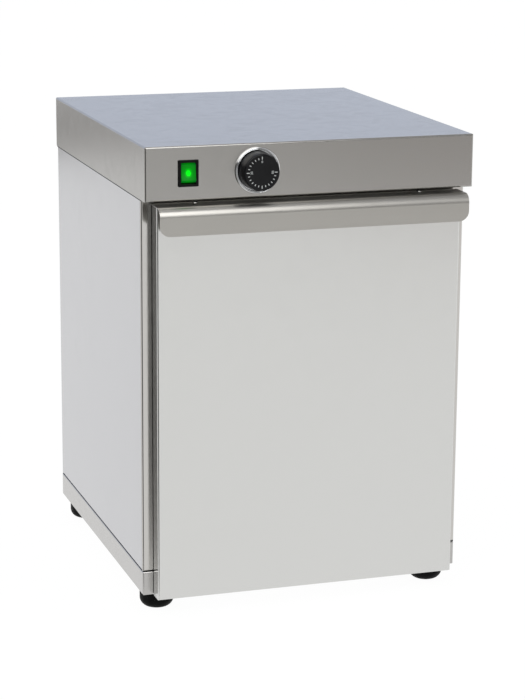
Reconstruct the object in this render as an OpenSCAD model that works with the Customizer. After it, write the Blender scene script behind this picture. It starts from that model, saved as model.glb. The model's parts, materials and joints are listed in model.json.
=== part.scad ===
// Plate warmer cabinet with one hinged door and a heated, insulated cavity.
// Millimetres. +X is to the right of someone facing the door, -Y is the front, +Z is up.
// The origin is the middle of the footprint, on the surface that the feet stand on.

/* [Cabinet] */
// Width over the top cover
cab_w = 400; // [380:1:480]
// Depth of the top cover
cab_d = 445; // [420:1:520]
// Height of the cabinet without its feet
cab_h = 540; // [500:1:620]
// Height of the top cover's skirt and fascia
cover_h = 63; // [61:1:75]
// Height of the plinth band round the base
plinth_h = 29.5; // [28:0.5:40]
// How far the fascia stands out in front of the body
overhang = 23; // [22.8:0.1:30]
// Width of each front pillar beside the door
pillar_w = 13; // [11:0.5:14]
// Thickness of the insulated side walls
wall_t = 25; // [24:0.5:32]
// Thickness of the insulated back wall
back_wall_t = 26; // [24:0.5:34]
// Height of the front frame's top rail, above the opening
top_rail_h = 33; // [31:1:40]
// Height of the front frame's bottom rail, below the opening
bottom_rail_h = 12; // [10:1:16]
// Height of the space for the controls, under the cover's top
control_h = 55; // [50:1:58]

/* [Sheet metal] */
// Thickness of the outer sheet
sheet_t = 1; // [0.8:0.1:1.2]
// Thickness of the liner's sheet
liner_t = 0.8; // [0.6:0.1:1]
// Outside radius of a fold
bend_r = 2; // [1.4:0.1:2.6]
// Gap between sheets that nest or meet
fit = 0.2; // [0.1:0.05:0.3]
// Width of a return flange
flange_w = 12; // [9:1:13]
// Width of the seam between a pillar and a side panel
corner_seam = 0.8; // [0.4:0.1:1]
// Width of the seam between the plinth band and the sheets above it
plinth_seam = 0.8; // [0.4:0.1:0.9]
// Depth of the pillar's visible side, in front of its seam
pillar_lip = 2; // [1.5:0.1:3]
// Depth of the front frame's folded edges
frame_d = 12; // [11:1:16]

/* [Door] */
// Thickness of the door
door_t = 20; // [18:0.5:20]
// Gap between the door's back and the front frame
door_gap = 2; // [1.8:0.1:2.2]
// Gap between the handle's top and the underside of the cover
door_top_gap = 4.7; // [3:0.1:8]
// Width of the gasket's strip
gasket_w = 6; // [5:0.5:6]
// Clearance left between the gasket and the frame
gasket_clear = 0.3; // [0.2:0.05:0.5]
// Width of the inner panel's folded edge
inner_edge = 6; // [4.5:0.5:6.5]
// Length of the screws that hold the inner panel
panel_screw_l = 9; // [7:1:10]
// Distance of the magnet's middle from the door's free edge
magnet_in = 76; // [60:1:140]

/* [Handle] */
// Thickness of the handle's sheet
handle_t = 1.2; // [1:0.1:1.5]
// How far the handle stands out in front of the door
handle_reach = 22; // [20:0.5:26]
// Height of the handle, top to lower edge
handle_drop = 32; // [28:1:38]
// How far short of the door's back face the handle's top ends
handle_back = 3; // [2.5:0.5:6]
// How far the handle overhangs each side of the door
handle_side = 2; // [0.5:0.5:4]
// Outside radius of the handle's rolled nose
nose_r = 10.5; // [8:0.5:13]
// Radius of the handle's lower corners
handle_corner_r = 12; // [8:1:16]
// Distance between the handle's two screws
handle_screw_span = 275; // [200:5:300]
// Length of those screws
handle_screw_l = 10; // [7:1:12]

/* [Hinges] */
// Distance of the hinge axis from the door's edge
hinge_in = 6.5; // [6.3:0.1:7]
// Distance of the hinge axis from the door's back face
hinge_back = 13; // [12:0.5:13]
// Diameter of a hinge pin
pin_d = 5; // [4:0.5:5]
// Running clearance on the pin's radius
pin_clear = 0.05; // [0.02:0.01:0.1]
// Thickness of a hinge plate
hinge_plate_t = 2.5; // [2:0.5:3]
// Length of the pin inside its bush
pin_l = 11; // [8:1:13]

/* [Controls] */
// Distance of the switch's centre from the left end of the fascia
switch_x = 51; // [40:1:70]
// Width of the switch's cut-out
switch_cut_w = 21; // [20:0.5:24]
// Height of the switch's cut-out
switch_cut_h = 27.5; // [26:0.5:32]
// How far the switch's bezel stands over its cut-out
bezel_lip = 1.6; // [1.2:0.1:2]
// Thickness of the switch's bezel
bezel_t = 2; // [1.5:0.1:2.5]
// Depth of the switch behind the fascia
switch_d = 16; // [14:1:18]
// Swing of the rocker from on to off
rocker_angle = 16; // [12:1:18]
// Distance of the knob's centre from the left end of the fascia
knob_x = 133; // [115:1:160]
// Diameter of the knob at its base
knob_d = 46; // [44:1:49]
// Diameter of the knob's front face
knob_face_d = 43; // [36:1:44]
// Height of the knob
knob_h = 17; // [15:0.5:18]
// Diameter of the bright ring behind the knob
ring_d = 54; // [53:0.5:58]
// Height of that ring
ring_h = 3.6; // [3:0.1:4]
// Diameter of the thermostat's shaft
shaft_d = 6; // [5:0.5:8]

/* [Feet] */
// Height of a foot
foot_h = 24; // [18:1:30]
// Largest diameter of a foot
foot_d = 41; // [36:1:44]
// Radius of a foot's rounded lower edge
foot_r = 11; // [9:0.5:12]
// Distance of a foot's centre from the body's side
foot_in_x = 25; // [24:1:45]
// Distance of a foot's centre from the body's front or back
foot_in_y = 30; // [28:1:45]
// Diameter of the screws that hold the feet
foot_screw_d = 6; // [5:0.5:8]

/* [Cavity] */
// Depth of a wire shelf
shelf_d = 352; // [300:1:355]
// Height of the lowest ledge above the element's cover
ledge_up = 25; // [18:1:28]
// Ledge that the lower shelf rests on, counted from the lowest
lower_ledge = 3; // [0:1:4]
// Ledge that the upper shelf rests on
upper_ledge = 7; // [6:1:8]
// Width of a runner's ledge
ledge_w = 12; // [10:1:14]
// Distance between a runner's ledges
ledge_pitch = 31; // [30:0.5:31]
// Number of ledges on each runner
ledge_count = 10; // [10:1:10]
// Diameter of the air holes in a runner
runner_hole_d = 14; // [8:1:18]
// Distance between those holes
runner_hole_pitch = 80; // [50:5:100]
// Diameter of a shelf's rim wire
rim_d = 5; // [4:0.5:6]
// Diameter of a shelf's cross wires
wire_d = 3; // [2.5:0.5:4]
// Number of cross wires on a shelf
wire_count = 15; // [9:2:17]
// Corner radius of a shelf, to the middle of its rim wire
shelf_corner_r = 14; // [10:1:20]
// Diameter of the heating element's tube
element_d = 8; // [6.5:0.5:8.5]
// Distance between the element's straight runs
element_pitch = 76; // [60:1:80]
// Height of the perforated cover over the element
element_cover_h = 24; // [20:1:30]
// Length of a slot in that cover
slot_l = 48; // [30:1:52]
// Width of a slot in that cover
slot_w = 6; // [4:0.5:8]
// Radius of the liner's long corners
liner_r = 6; // [4:0.5:8]
// Width of the liner's outward flange at the front
liner_flange = 8; // [6:0.5:8]

/* [Cable entry] */
// Diameter of the cable that the gland takes
cable_d = 8; // [6:0.5:9]
// Diameter of the gland's thread
gland_d = 16; // [16:0.5:18]
// Width across the flats of the gland's hexagon
gland_af = 20; // [20:0.5:21]
// How far the gland stands out behind the back
gland_out = 13; // [10:1:20]
// Distance of the gland's centre from the body's right side
gland_in = 70; // [60:1:120]

/* [Hidden] */
$fn = 64;
eps = 0.01;
// Clearance between two bodies that move past each other
run = 0.3;
// Clearance round a slab of mineral wool
wool_gap = 0.3;
// Inside radius of a fold
inner_r = max(bend_r - sheet_t, 0.2);
// Steel, rubber and the other colours of the finishes
steel = "#b9b6b0";
steel_light = "#cfcfd0";
steel_dark = "#8f8c87";
chrome = "#d9dadb";
black = "#191919";
wool = "#b9a86a";
silicone = "#3b3b3d";
brass = "#b5a04c";
ceramic = "#e9e4d8";

// Places along Y. The footprint runs from the handle or knob at the front to the gland at the back.
door_setback = overhang - door_gap - door_t;
knob_front = ring_h / 2 + knob_h;
front_reach = max(handle_reach - door_setback, knob_front);
total_d = front_reach + cab_d + gland_out - sheet_t - fit;
fascia_y = front_reach - total_d / 2;
cover_back_y = fascia_y + cab_d;
body_y = fascia_y + overhang;
back_y = cover_back_y - sheet_t - fit;
door_back_y = body_y - door_gap;
door_y = door_back_y - door_t;
liner_y = body_y + sheet_t;
liner_back_y = back_y - back_wall_t;
wool_y = body_y + frame_d + wool_gap;

// Places along X, as half widths
cover_x = cab_w / 2;
body_x = cover_x - sheet_t - fit;
door_x = body_x - pillar_w;
open_x = body_x - wall_t;
panel_x = body_x - sheet_t;
landing_x = panel_x - fit;
handle_x = door_x + handle_side;

// Places along Z
base_z = foot_h;
top_z = foot_h + cab_h;
cover_z = top_z - cover_h;
seam_z = base_z + plinth_h;
deck_z = top_z - sheet_t - control_h;
open_z0 = seam_z + plinth_seam + bottom_rail_h;
open_z1 = deck_z - top_rail_h;
handle_z1 = cover_z - door_top_gap;
handle_z0 = handle_z1 - handle_drop;
door_z1 = handle_z1 - handle_t;
door_z0 = base_z;
fascia_z = top_z - cover_h / 2;
shelf_floor_z = open_z0 + element_cover_h;

// Hinges
hinge_x = door_x - hinge_in;
hinge_y = door_back_y - hinge_back;
// Room in front of the axis and to its right, inside the door's skin
hinge_front = door_t - hinge_back - sheet_t;
hinge_side = hinge_in - sheet_t;
plate_nose_r = min(hinge_front, hinge_side) - run;
plate_right = 3;
plate_leg_w = 18;
plate_leg_h = 15;
lower_plate_z = door_z0 + sheet_t + run;
upper_plate_z = door_z1 - sheet_t - run - hinge_plate_t;
bush_h = pin_l + 1;
bush_back = hinge_back - inner_edge - fit;
bush_left = 9;
lower_bush_z = lower_plate_z + hinge_plate_t + run;
upper_bush_z = upper_plate_z - run - bush_h;

// Gasket
gasket_x = open_x + 0.5;
gasket_z0 = open_z0 - gasket_w - 0.5;
gasket_z1 = open_z1 + gasket_w + 0.5;
gasket_t = door_gap - gasket_clear;

// Magnet on the top rail, above the gasket
magnet_x = -door_x + magnet_in;
magnet_w = 46;
magnet_h = 7;
magnet_d = 9;
magnet_z = door_z1 - sheet_t - fit - run - magnet_h / 2;
strike_t = 0.5;
magnet_out = door_gap - strike_t - run;

// Controls
switch_cx = -cover_x + switch_x;
knob_cx = -cover_x + knob_x;
rocker_w = switch_cut_w - 4;
rocker_h = switch_cut_h - 5;
rocker_r = 34;
rocker_pivot = 5;
stat_w = 40;
stat_h = 34;
stat_d = 30;
stat_screw_span = 28;
stat_screw_d = 4;
shaft_hole_d = shaft_d + 4;
bulb_d = 6;
bulb_l = 80;
capillary_d = 2;
bulb_z = open_z1 - bulb_d / 2 - 2;
bulb_y = body_y + 100;

// Feet
foot_px = body_x - foot_in_x;
foot_front_y = body_y + foot_in_y;
foot_back_y = back_y - foot_in_y;
washer_d = foot_screw_d * 2.1;
washer_t = 1.5;
foot_bore_d = foot_screw_d + 0.4;
foot_well_d = washer_d + 1.2;
foot_well_h = foot_h - 8;
screw_head_d = foot_screw_d * 1.7;
screw_head_h = foot_screw_d * 0.5;
nut_af = foot_screw_d * 1.65;
nut_h = foot_screw_d * 0.8;

// Cavity
runner_y0 = liner_y + 14;
runner_y1 = liner_back_y - 4;
runner_t = 1;
ledge_z0 = shelf_floor_z + ledge_up;
shelf_x = open_x - runner_t - 1.5 - rim_d / 2;
shelf_back_y = runner_y1 - 4;
lower_shelf_z = ledge_z0 + lower_ledge * ledge_pitch + rim_d / 2 + run;
upper_shelf_z = ledge_z0 + upper_ledge * ledge_pitch + rim_d / 2 + run;
element_z = open_z0 + element_cover_h / 2;
element_r = element_pitch / 2;
element_front_y = liner_y + 55 + element_r;
element_back_y = liner_back_y - 30 - element_r;
element_end_y = back_y - 7;
element_end_x = 1.5 * element_pitch;
bracket_y = [element_front_y + 30, element_back_y - 30];
gland_x = body_x - gland_in;
gland_z = base_z + plinth_h / 2;

// Screws: diameter of the shank, diameter and height of the pan head
small_screw = [4, 7.6, 2.4];
tiny_screw = [3.4, 6.4, 2];

// ---------- Shapes that repeat ----------

// A rectangle between two corners, each corner with its own radius, counter-clockwise from the lowest.
module soft_rect(lo, hi, r = [0, 0, 0, 0]) {
    size = hi - lo;
    places = [lo, [hi.x, lo.y], hi, [lo.x, hi.y]];
    difference() {
        translate(lo) square(size);
        for (i = [0:3])
            if (r[i] > 0)
                translate(places[i]) rotate(90 * i)
                    difference() {
                        translate([-1, -1]) square(r[i] + 1);
                        translate([r[i], r[i]]) circle(r[i]);
                    }
    }
}

// A block between two corners with folded edges: radii seen from the top, the front and the side.
module folded_block(lo, hi, top = [0, 0, 0, 0], front = [0, 0, 0, 0], side = [0, 0, 0, 0]) {
    size = hi - lo;
    intersection() {
        translate([0, 0, lo.z]) linear_extrude(size.z)
            soft_rect([lo.x, lo.y], [hi.x, hi.y], top);
        translate([0, hi.y, 0]) rotate([90, 0, 0]) linear_extrude(size.y)
            soft_rect([lo.x, lo.z], [hi.x, hi.z], front);
        translate([lo.x, 0, 0]) rotate([90, 0, 90]) linear_extrude(size.x)
            soft_rect([lo.y, lo.z], [hi.y, hi.z], side);
    }
}

// A plain block between two corners.
module block(lo, hi) {
    translate(lo) cube(hi - lo);
}

// The same shape on the left and on the right.
module both_sides() {
    children();
    mirror([1, 0, 0]) children();
}

// A cylinder along +X, +Y or -Y from a point.
module rod_x(at, d, l) {
    translate(at) rotate([0, 90, 0]) cylinder(d = d, h = l);
}

module rod_y(at, d, l) {
    translate(at) rotate([-90, 0, 0]) cylinder(d = d, h = l);
}

module rod_back(at, d, l) {
    translate(at) rotate([90, 0, 0]) cylinder(d = d, h = l);
}

// A pan-head screw along -Z, with its head above the origin and a cross recess.
module pan_screw(size, l) {
    head_r = size[1] / 2;
    difference() {
        union() {
            translate([0, 0, -l]) cylinder(d = size[0], h = l + eps);
            rotate_extrude()
                intersection() {
                    square([head_r, size[2]]);
                    translate([0, size[2] - 1.6 * head_r]) circle(1.6 * head_r);
                }
        }
        for (a = [0, 90])
            rotate(a) translate([-size[1] * 0.3, -0.35, size[2] * 0.45])
                cube([size[1] * 0.6, 0.7, size[2]]);
    }
}

// A round bar bent along points, as one closed tube.
function unit(v) = v / norm(v);
function bar_side(p, i) =
    let(a = p[max(i - 1, 0)], b = p[min(i + 1, len(p) - 1)], t = unit(b - a),
        up = abs(t.z) < 0.9 ? [0, 0, 1] : [0, 1, 0])
    [unit(cross(t, up)), unit(cross(t, cross(t, up)))];
function bar_ring(p, i, r, n) =
    let(s = bar_side(p, i))
    [for (k = [0:n - 1]) p[i] + r * (cos(360 * k / n) * s[0] + sin(360 * k / n) * s[1])];
module bar(p, d, n = 8) {
    last = len(p) - 1;
    rings = [for (i = [0:last]) each bar_ring(p, i, d / 2, n)];
    skin = [for (i = [0:last - 1], k = [0:n - 1])
        let(a = i * n + k, b = i * n + (k + 1) % n)
        each [[a, b, a + n], [b, b + n, a + n]]];
    ends = concat([for (k = [1:n - 2]) [0, k + 1, k]],
        [for (k = [1:n - 2]) [last * n, last * n + k, last * n + k + 1]]);
    polyhedron(rings, concat(skin, ends));
}

// Points along a route, with each corner rounded off from a chosen distance on either side.
function round_corner(a, c, b, r, steps) =
    let(p = c + r * unit(a - c), q = c + r * unit(b - c))
    [for (k = [0:steps]) let(t = k / steps) (1 - t) * (1 - t) * p + 2 * t * (1 - t) * c + t * t * q];
function soft_route(p, r, steps = 4) =
    [p[0], for (i = [1:len(p) - 2]) each round_corner(p[i - 1], p[i], p[i + 1], r, steps), p[len(p) - 1]];

// ---------- Outer casing ----------

// The cover is one sheet: top, four skirts, and a return under the overhang.
module top_cover() {
    t = sheet_t;
    r = bend_r;
    return_y = body_y - run;
    color(steel)
        difference() {
            folded_block([-cover_x, fascia_y, cover_z], [cover_x, cover_back_y, top_z],
                [r, r, r, r], [0, 0, r, r], [r, 0, r, r]);
            folded_block([-cover_x + t, fascia_y + t, cover_z + t],
                [cover_x - t, cover_back_y - t, top_z - t], [inner_r, inner_r, inner_r, inner_r],
                [0, 0, inner_r, inner_r], [inner_r, 0, inner_r, inner_r]);
            folded_block([-cover_x + t, return_y, cover_z - t],
                [cover_x - t, cover_back_y - t, cover_z + 2 * t], [0, 0, inner_r, inner_r]);
            switch_cutout(fascia_y - t, 3 * t);
            knob_hole(shaft_hole_d, 3 * t);
            for (s = [-1, 1])
                translate([s * stat_screw_span / 2, 0, 0]) knob_hole(stat_screw_d, 3 * t);
            back_vents();
            cover_screw_places() rod_back([0, 2, 0], small_screw[0] + 0.4, 4);
        }
}

module switch_cutout(y, l) {
    w = switch_cut_w / 2;
    h = switch_cut_h / 2;
    translate([0, y + l, 0]) rotate([90, 0, 0]) linear_extrude(l)
        soft_rect([switch_cx - w, fascia_z - h], [switch_cx + w, fascia_z + h], [1, 1, 1, 1]);
}

module knob_hole(d, l) {
    rod_y([knob_cx, fascia_y - sheet_t, fascia_z], d, l);
}

// Slots for the air round the thermostat, in the cover's back skirt.
module back_vents() {
    count = 9;
    pitch = 12;
    slot_h = 22;
    for (i = [0:count - 1])
        translate([(i - (count - 1) / 2) * pitch, cover_back_y - 2 * sheet_t - 3, fascia_z])
            rotate([-90, 0, 0]) linear_extrude(2 * sheet_t + 4)
                soft_rect([-1.5, -slot_h / 2], [1.5, slot_h / 2], [1.5, 1.5, 1.5, 1.5]);
}

module cover_screw_places() {
    for (x = [-0.8, 0.8])
        translate([x * body_x, cover_back_y, deck_z + flange_w + 9]) children();
}

module cover_screws() {
    color(chrome)
        cover_screw_places() rotate([-90, 0, 0]) pan_screw(small_screw, 9);
}

// A side panel is a shallow pan: open to the front, with returns at the back, top and bottom.
module side_panel() {
    t = sheet_t;
    r = bend_r;
    lo = [body_x - flange_w, body_y + pillar_lip + corner_seam, seam_z + plinth_seam];
    hi = [body_x, back_y - t - fit, top_z - t - fit];
    color(steel_light)
        difference() {
            folded_block(lo, hi, [0, 0, r, 0], [0, r, r, 0]);
            folded_block(lo - [1, 1, -t], hi - [t, t, t], [0, 0, inner_r, 0], [0, inner_r, inner_r, 0]);
            block([lo.x - 1, lo.y - 1, lo.z - 1], [hi.x - t, body_y + frame_d + fit, lo.z + 2 * t]);
            back_screw_places() rod_back([0, 2, 0], small_screw[0] + 0.1, 8);
        }
}

module right_side_panel() {
    side_panel();
}

module left_side_panel() {
    mirror([1, 0, 0]) side_panel();
}

module back_panel() {
    t = sheet_t;
    color(steel_light)
        difference() {
            block([-body_x + bend_r, back_y - t, seam_z + plinth_seam],
                [body_x - bend_r, back_y, top_z - t - fit - inner_r]);
            back_vents();
            back_screw_places() rod_back([0, 2, 0], small_screw[0] + 0.4, 6);
            cover_screw_places() rod_back([0, 2, 0], small_screw[0] + 0.4, 12);
        }
}

// Screws down both edges of the back panel, into the side panels' returns.
module back_screw_places() {
    for (x = [-1, 1], k = [0:3])
        translate([x * (body_x - flange_w / 2), back_y,
            seam_z + 22 + k * (cover_z - seam_z - 44) / 3]) children();
}

module back_screws() {
    color(chrome)
        back_screw_places() rotate([-90, 0, 0]) pan_screw(small_screw, sheet_t + 0.5);
}

// The front frame: two pillars and two rails, folded back all round and joggled under the side panels.
module front_frame() {
    t = sheet_t;
    r = bend_r;
    z0 = seam_z + plinth_seam;
    color(steel)
        difference() {
            folded_block([-body_x, body_y, z0], [body_x, body_y + frame_d, deck_z],
                [r, r, 0, 0], [0, 0, 0, 0], [r, 0, 0, 0]);
            both_sides()
                block([landing_x, body_y + pillar_lip, z0 - 1],
                    [body_x + 1, body_y + frame_d + 1, deck_z + 1]);
            block([-landing_x + t, body_y + t, z0 + t],
                [landing_x - t, body_y + frame_d + 1, deck_z - t]);
            block([-open_x, body_y - 1, open_z0], [open_x, body_y + t + 1, open_z1]);
            hinge_slot(upper_plate_z);
            translate([magnet_x, 0, magnet_z])
                block([-magnet_w / 2 - fit, body_y - 1, -magnet_h / 2 - fit],
                    [magnet_w / 2 + fit, body_y + t + 1, magnet_h / 2 + fit]);
        }
}

// The base pan: floor, four walls that show as the plinth band, and an inward return on top.
module base_pan() {
    t = sheet_t;
    r = bend_r;
    inner = [inner_r, inner_r, inner_r, inner_r];
    color(steel_light)
        difference() {
            folded_block([-body_x, body_y, base_z], [body_x, back_y, seam_z],
                [r, r, r, r], [r, r, r, r], [r, r, r, r]);
            folded_block([-body_x + t, body_y + t, base_z + t],
                [body_x - t, back_y - t, seam_z - t], inner, inner, inner);
            block([-body_x + flange_w, body_y + flange_w, seam_z - 2 * t],
                [body_x - flange_w, back_y - flange_w, seam_z + 1]);
            foot_places() translate([0, 0, base_z - 1]) cylinder(d = foot_bore_d, h = t + 2);
            hinge_slot(lower_plate_z);
            rod_y([gland_x, back_y - 2 * t, gland_z], gland_d + 2 * fit, 3 * t);
        }
}

// The deck that closes the insulated body and carries the controls' terminals.
module control_deck() {
    t = sheet_t;
    x = panel_x - fit;
    y1 = back_y - 2 * t - fit - inner_r;
    color(steel_dark)
        difference() {
            block([-x, body_y, deck_z], [x, y1, deck_z + flange_w]);
            block([-x + t, body_y - 1, deck_z + t],
                [x - t, y1 - t, deck_z + flange_w + 1]);
            translate([capillary_down.x, capillary_down.y, deck_z - 1])
                cylinder(d = 12, h = t + 2);
            for (s = [-1, 1])
                translate([s * lead_down_x, lead_down_y, deck_z - 1]) cylinder(d = 10, h = t + 2);
        }
}

// ---------- Cavity ----------

// The liner is a five-sided box with an outward flange behind the front frame.
module liner() {
    t = liner_t;
    r = liner_r;
    f = liner_flange;
    color(steel)
        difference() {
            union() {
                folded_block([-open_x - t, liner_y, open_z0 - t],
                    [open_x + t, liner_back_y + t, open_z1 + t], [0, 0, 0, 0],
                    [r + t, r + t, r + t, r + t]);
                block([-open_x - f, liner_y, open_z0 - f], [open_x + f, liner_y + t, open_z1 + f]);
            }
            folded_block([-open_x, liner_y - 1, open_z0], [open_x, liner_back_y, open_z1],
                [0, 0, 0, 0], [r, r, r, r]);
            for (s = [-1, 1])
                rod_y([s * element_end_x, liner_back_y - 1, element_z], element_d + 1, t + 2);
            translate([capillary_down.x, capillary_down.y, open_z1 - 1])
                cylinder(d = 8, h = t + 2);
        }
}

// Mineral wool between the liner and the casing.
module insulation_side() {
    color(wool)
        block([open_x + liner_t + wool_gap, wool_y, open_z0 - liner_t],
            [panel_x - wool_gap, back_y - 2 * sheet_t - fit - wool_gap, deck_z - wool_gap]);
}

module insulation_right() {
    insulation_side();
}

module insulation_left() {
    mirror([1, 0, 0]) insulation_side();
}

module insulation_back() {
    x = open_x + liner_t;
    color(wool)
        difference() {
            block([-x, liner_back_y + liner_t + wool_gap, open_z0 - liner_t],
                [x, back_y - sheet_t - wool_gap, deck_z - wool_gap]);
            for (s = [-1, 1])
                rod_y([s * element_end_x, liner_back_y - 1, element_z], element_d + 3,
                    back_wall_t + 2);
            both_sides()
                block([lead_down_x - 4, lead_down_y - 4, element_z],
                    [lead_down_x + 4, lead_down_y + 4, deck_z + 1]);
            both_sides()
                block([element_end_x - 17, element_end_y - 8, element_z - 8],
                    [element_end_x + 6, back_y, element_z + 40]);
        }
}

module insulation_top() {
    x = open_x + liner_t;
    color(wool)
        difference() {
            block([-x, wool_y, open_z1 + liner_t + wool_gap],
                [x, liner_back_y + liner_t, deck_z - wool_gap]);
            translate([capillary_down.x, capillary_down.y, open_z1])
                cylinder(d = 8, h = deck_z - open_z1);
        }
}

module insulation_base() {
    x = body_x - flange_w - wool_gap;
    y0 = body_y + flange_w + wool_gap;
    color(wool)
        difference() {
            block([-x, y0, base_z + sheet_t + wool_gap],
                [x, back_y - flange_w - wool_gap, open_z0 - liner_t - wool_gap]);
            foot_places()
                translate([0, 0, base_z]) cylinder(d = nut_af * 1.5 + 2, h = nut_h + 10);
            block([gland_x - gland_af, back_y - 34, base_z],
                [gland_x + gland_af, back_y, seam_z - sheet_t]);
        }
}

// A runner is one sheet with ledges folded into the cavity, each with a stop at its back end.
module shelf_runner() {
    wall = open_x - fit;
    top = ledge_z0 + (ledge_count - 1) * ledge_pitch + 8;
    first = runner_y0 + 0.75 * runner_hole_pitch;
    color(steel)
        difference() {
            union() {
                block([wall - runner_t, runner_y0, shelf_floor_z + 3], [wall, runner_y1, top]);
                for (k = [0:ledge_count - 1])
                    translate([0, 0, ledge_z0 + k * ledge_pitch]) {
                        block([wall - ledge_w, runner_y0, -runner_t], [wall, runner_y1, 0]);
                        block([wall - ledge_w, runner_y1 - runner_t, -runner_t],
                            [wall, runner_y1, rim_d]);
                    }
            }
            for (y = [first : runner_hole_pitch : runner_y1 - runner_hole_d], k = [0:2:ledge_count - 2])
                rod_x([wall - runner_t - 1, y, ledge_z0 + (k + 0.5) * ledge_pitch],
                    runner_hole_d, runner_t + 2);
        }
}

module shelf_runner_right() {
    shelf_runner();
}

module shelf_runner_left() {
    mirror([1, 0, 0]) shelf_runner();
}

// A wire shelf: a closed rim, two bearers across it and wires from front to back.
module wire_shelf(z) {
    y0 = shelf_back_y - shelf_d + rim_d / 2;
    y1 = shelf_back_y - rim_d / 2;
    r = shelf_corner_r;
    pitch = 2 * shelf_x / (wire_count + 1);
    sink = 0.4;
    color(chrome)
        translate([0, 0, z]) {
            both_sides() rod_y([shelf_x, y0 + r, 0], rim_d, y1 - y0 - 2 * r);
            for (y = [y0, y1]) rod_x([-shelf_x + r, y, 0], rim_d, 2 * (shelf_x - r));
            for (p = [[shelf_x, y1, 0], [-shelf_x, y1, 90], [-shelf_x, y0, 180], [shelf_x, y0, 270]])
                translate([p.x - sign(p.x) * r, p.y + (p.y == y0 ? r : -r), 0])
                    rotate(p.z) rotate_extrude(angle = 90) translate([r, 0]) circle(d = rim_d);
            for (k = [1:wire_count])
                rod_y([-shelf_x + k * pitch, y0, (rim_d + wire_d) / 2 - sink], wire_d, y1 - y0);
            for (f = [1 / 3, 2 / 3])
                rod_x([-shelf_x, y0 + f * (y1 - y0), sink - (rim_d - wire_d) / 2 - 0.2],
                    wire_d, 2 * shelf_x);
        }
}

module lower_shelf() {
    wire_shelf(lower_shelf_z);
}

module upper_shelf() {
    wire_shelf(upper_shelf_z);
}

// The element: four straight runs joined by three half turns, with both ends through the back.
module heating_element() {
    r = element_r;
    ends_l = element_end_y - element_front_y;
    color(steel_dark) {
        both_sides() {
            rod_y([element_end_x, element_front_y, element_z], element_d, ends_l);
            rod_y([r, element_front_y, element_z], element_d, element_back_y - element_front_y);
            half_turn([2 * r, element_front_y, element_z], 180);
        }
        half_turn([0, element_back_y, element_z], 0);
        for (s = [-1, 1])
            rod_y([s * element_end_x, element_end_y - 1, element_z], 4, 5);
    }
}

module half_turn(at, turn) {
    translate(at) rotate(turn) rotate_extrude(angle = 180)
        translate([element_r, 0]) circle(d = element_d);
}

// Two combs that hold the element above the liner's floor.
module element_brackets() {
    color(steel)
        for (y = bracket_y)
            difference() {
                block([-element_end_x - 14, y - 0.6, open_z0],
                    [element_end_x + 14, y + 0.6, element_z + 3]);
                for (k = [-1.5:1:1.5])
                    translate([k * element_pitch, 0, 0]) {
                        rod_y([0, y - 2, element_z], element_d + 0.1, 4);
                        block([-element_d / 2 - 0.05, y - 2, element_z],
                            [element_d / 2 + 0.05, y + 2, element_z + 10]);
                    }
            }
}

// The perforated cover over the element stands on its folded edges.
module element_cover() {
    t = sheet_t;
    x = open_x - liner_r - fit;
    y0 = liner_y + 16;
    y1 = liner_back_y - 3;
    pitch_x = slot_w * 6;
    pitch_y = slot_l + 16;
    columns = floor((2 * x - 30) / pitch_x);
    rows = floor((y1 - y0 - 30) / pitch_y);
    color(steel_light)
        difference() {
            block([-x, y0, open_z0], [x, y1, shelf_floor_z]);
            block([-x + t, y0 + t, open_z0 - 1], [x - t, y1 + 1, shelf_floor_z - t]);
            for (i = [0:columns - 1], j = [0:rows - 1])
                translate([(i - (columns - 1) / 2) * pitch_x,
                    (y0 + y1) / 2 + (j - (rows - 1) / 2) * pitch_y, shelf_floor_z - t - 1])
                    linear_extrude(t + 2)
                        soft_rect([-slot_w / 2, -slot_l / 2], [slot_w / 2, slot_l / 2],
                            [1.4, 1.4, 1.4, 1.4]);
        }
}

// ---------- Controls ----------

// Where the capillary tube and the leads pass through the deck.
capillary_down = [knob_cx + 34, body_y + 60];
lead_down_x = element_end_x - 12;
lead_down_y = liner_back_y + back_wall_t / 2;

// The terminal block: poles in a row, each with a hole from front to back.
terminal_poles = 5;
terminal_pitch = 12;
terminal_d = 22;
terminal_y = body_y + 120;
terminal_z = deck_z + sheet_t + 5;
wire_lead_d = 2.6;
function terminal_x(pole) = element_end_x - 86 + (pole + 0.5) * terminal_pitch;

module thermostat_body() {
    y0 = fascia_y + sheet_t;
    color(ceramic)
        difference() {
            union() {
                translate([knob_cx, 0, fascia_z])
                    folded_block([-stat_w / 2, y0 + 2, -stat_h / 2], [stat_w / 2, y0 + stat_d, stat_h / 2],
                        [0, 0, 0, 0], [3, 3, 3, 3]);
                block([knob_cx - stat_screw_span / 2 - 5, y0, fascia_z - 7],
                    [knob_cx + stat_screw_span / 2 + 5, y0 + 2 + eps, fascia_z + 7]);
            }
            rod_y([knob_cx, y0 - 1, fascia_z], shaft_d + 2 * pin_clear, 16);
            for (s = [-1, 1])
                rod_y([knob_cx + s * stat_screw_span / 2, y0 - 1, fascia_z], stat_screw_d, 9);
        }
}

module thermostat_screws() {
    color(chrome)
        for (s = [-1, 1])
            translate([knob_cx + s * stat_screw_span / 2, fascia_y, fascia_z])
                rotate([90, 0, 0]) pan_screw([stat_screw_d, 7, 2], 7);
}

// The bulb lies under the liner's roof.
module thermostat_bulb() {
    color(brass)
        rod_y([capillary_down.x, bulb_y, bulb_z], bulb_d, bulb_l);
}

// The capillary tube climbs from the bulb through the roof and the deck to the thermostat.
module capillary_tube() {
    x = capillary_down.x;
    y = capillary_down.y;
    stat_back = fascia_y + sheet_t + stat_d;
    route = [
        [knob_cx + 10, stat_back, fascia_z], [knob_cx + 10, y, fascia_z], [x, y, fascia_z],
        [x, y, bulb_z], [x, bulb_y, bulb_z]
    ];
    color(brass) bar(soft_route(route, 9), capillary_d, 8);
}

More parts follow.
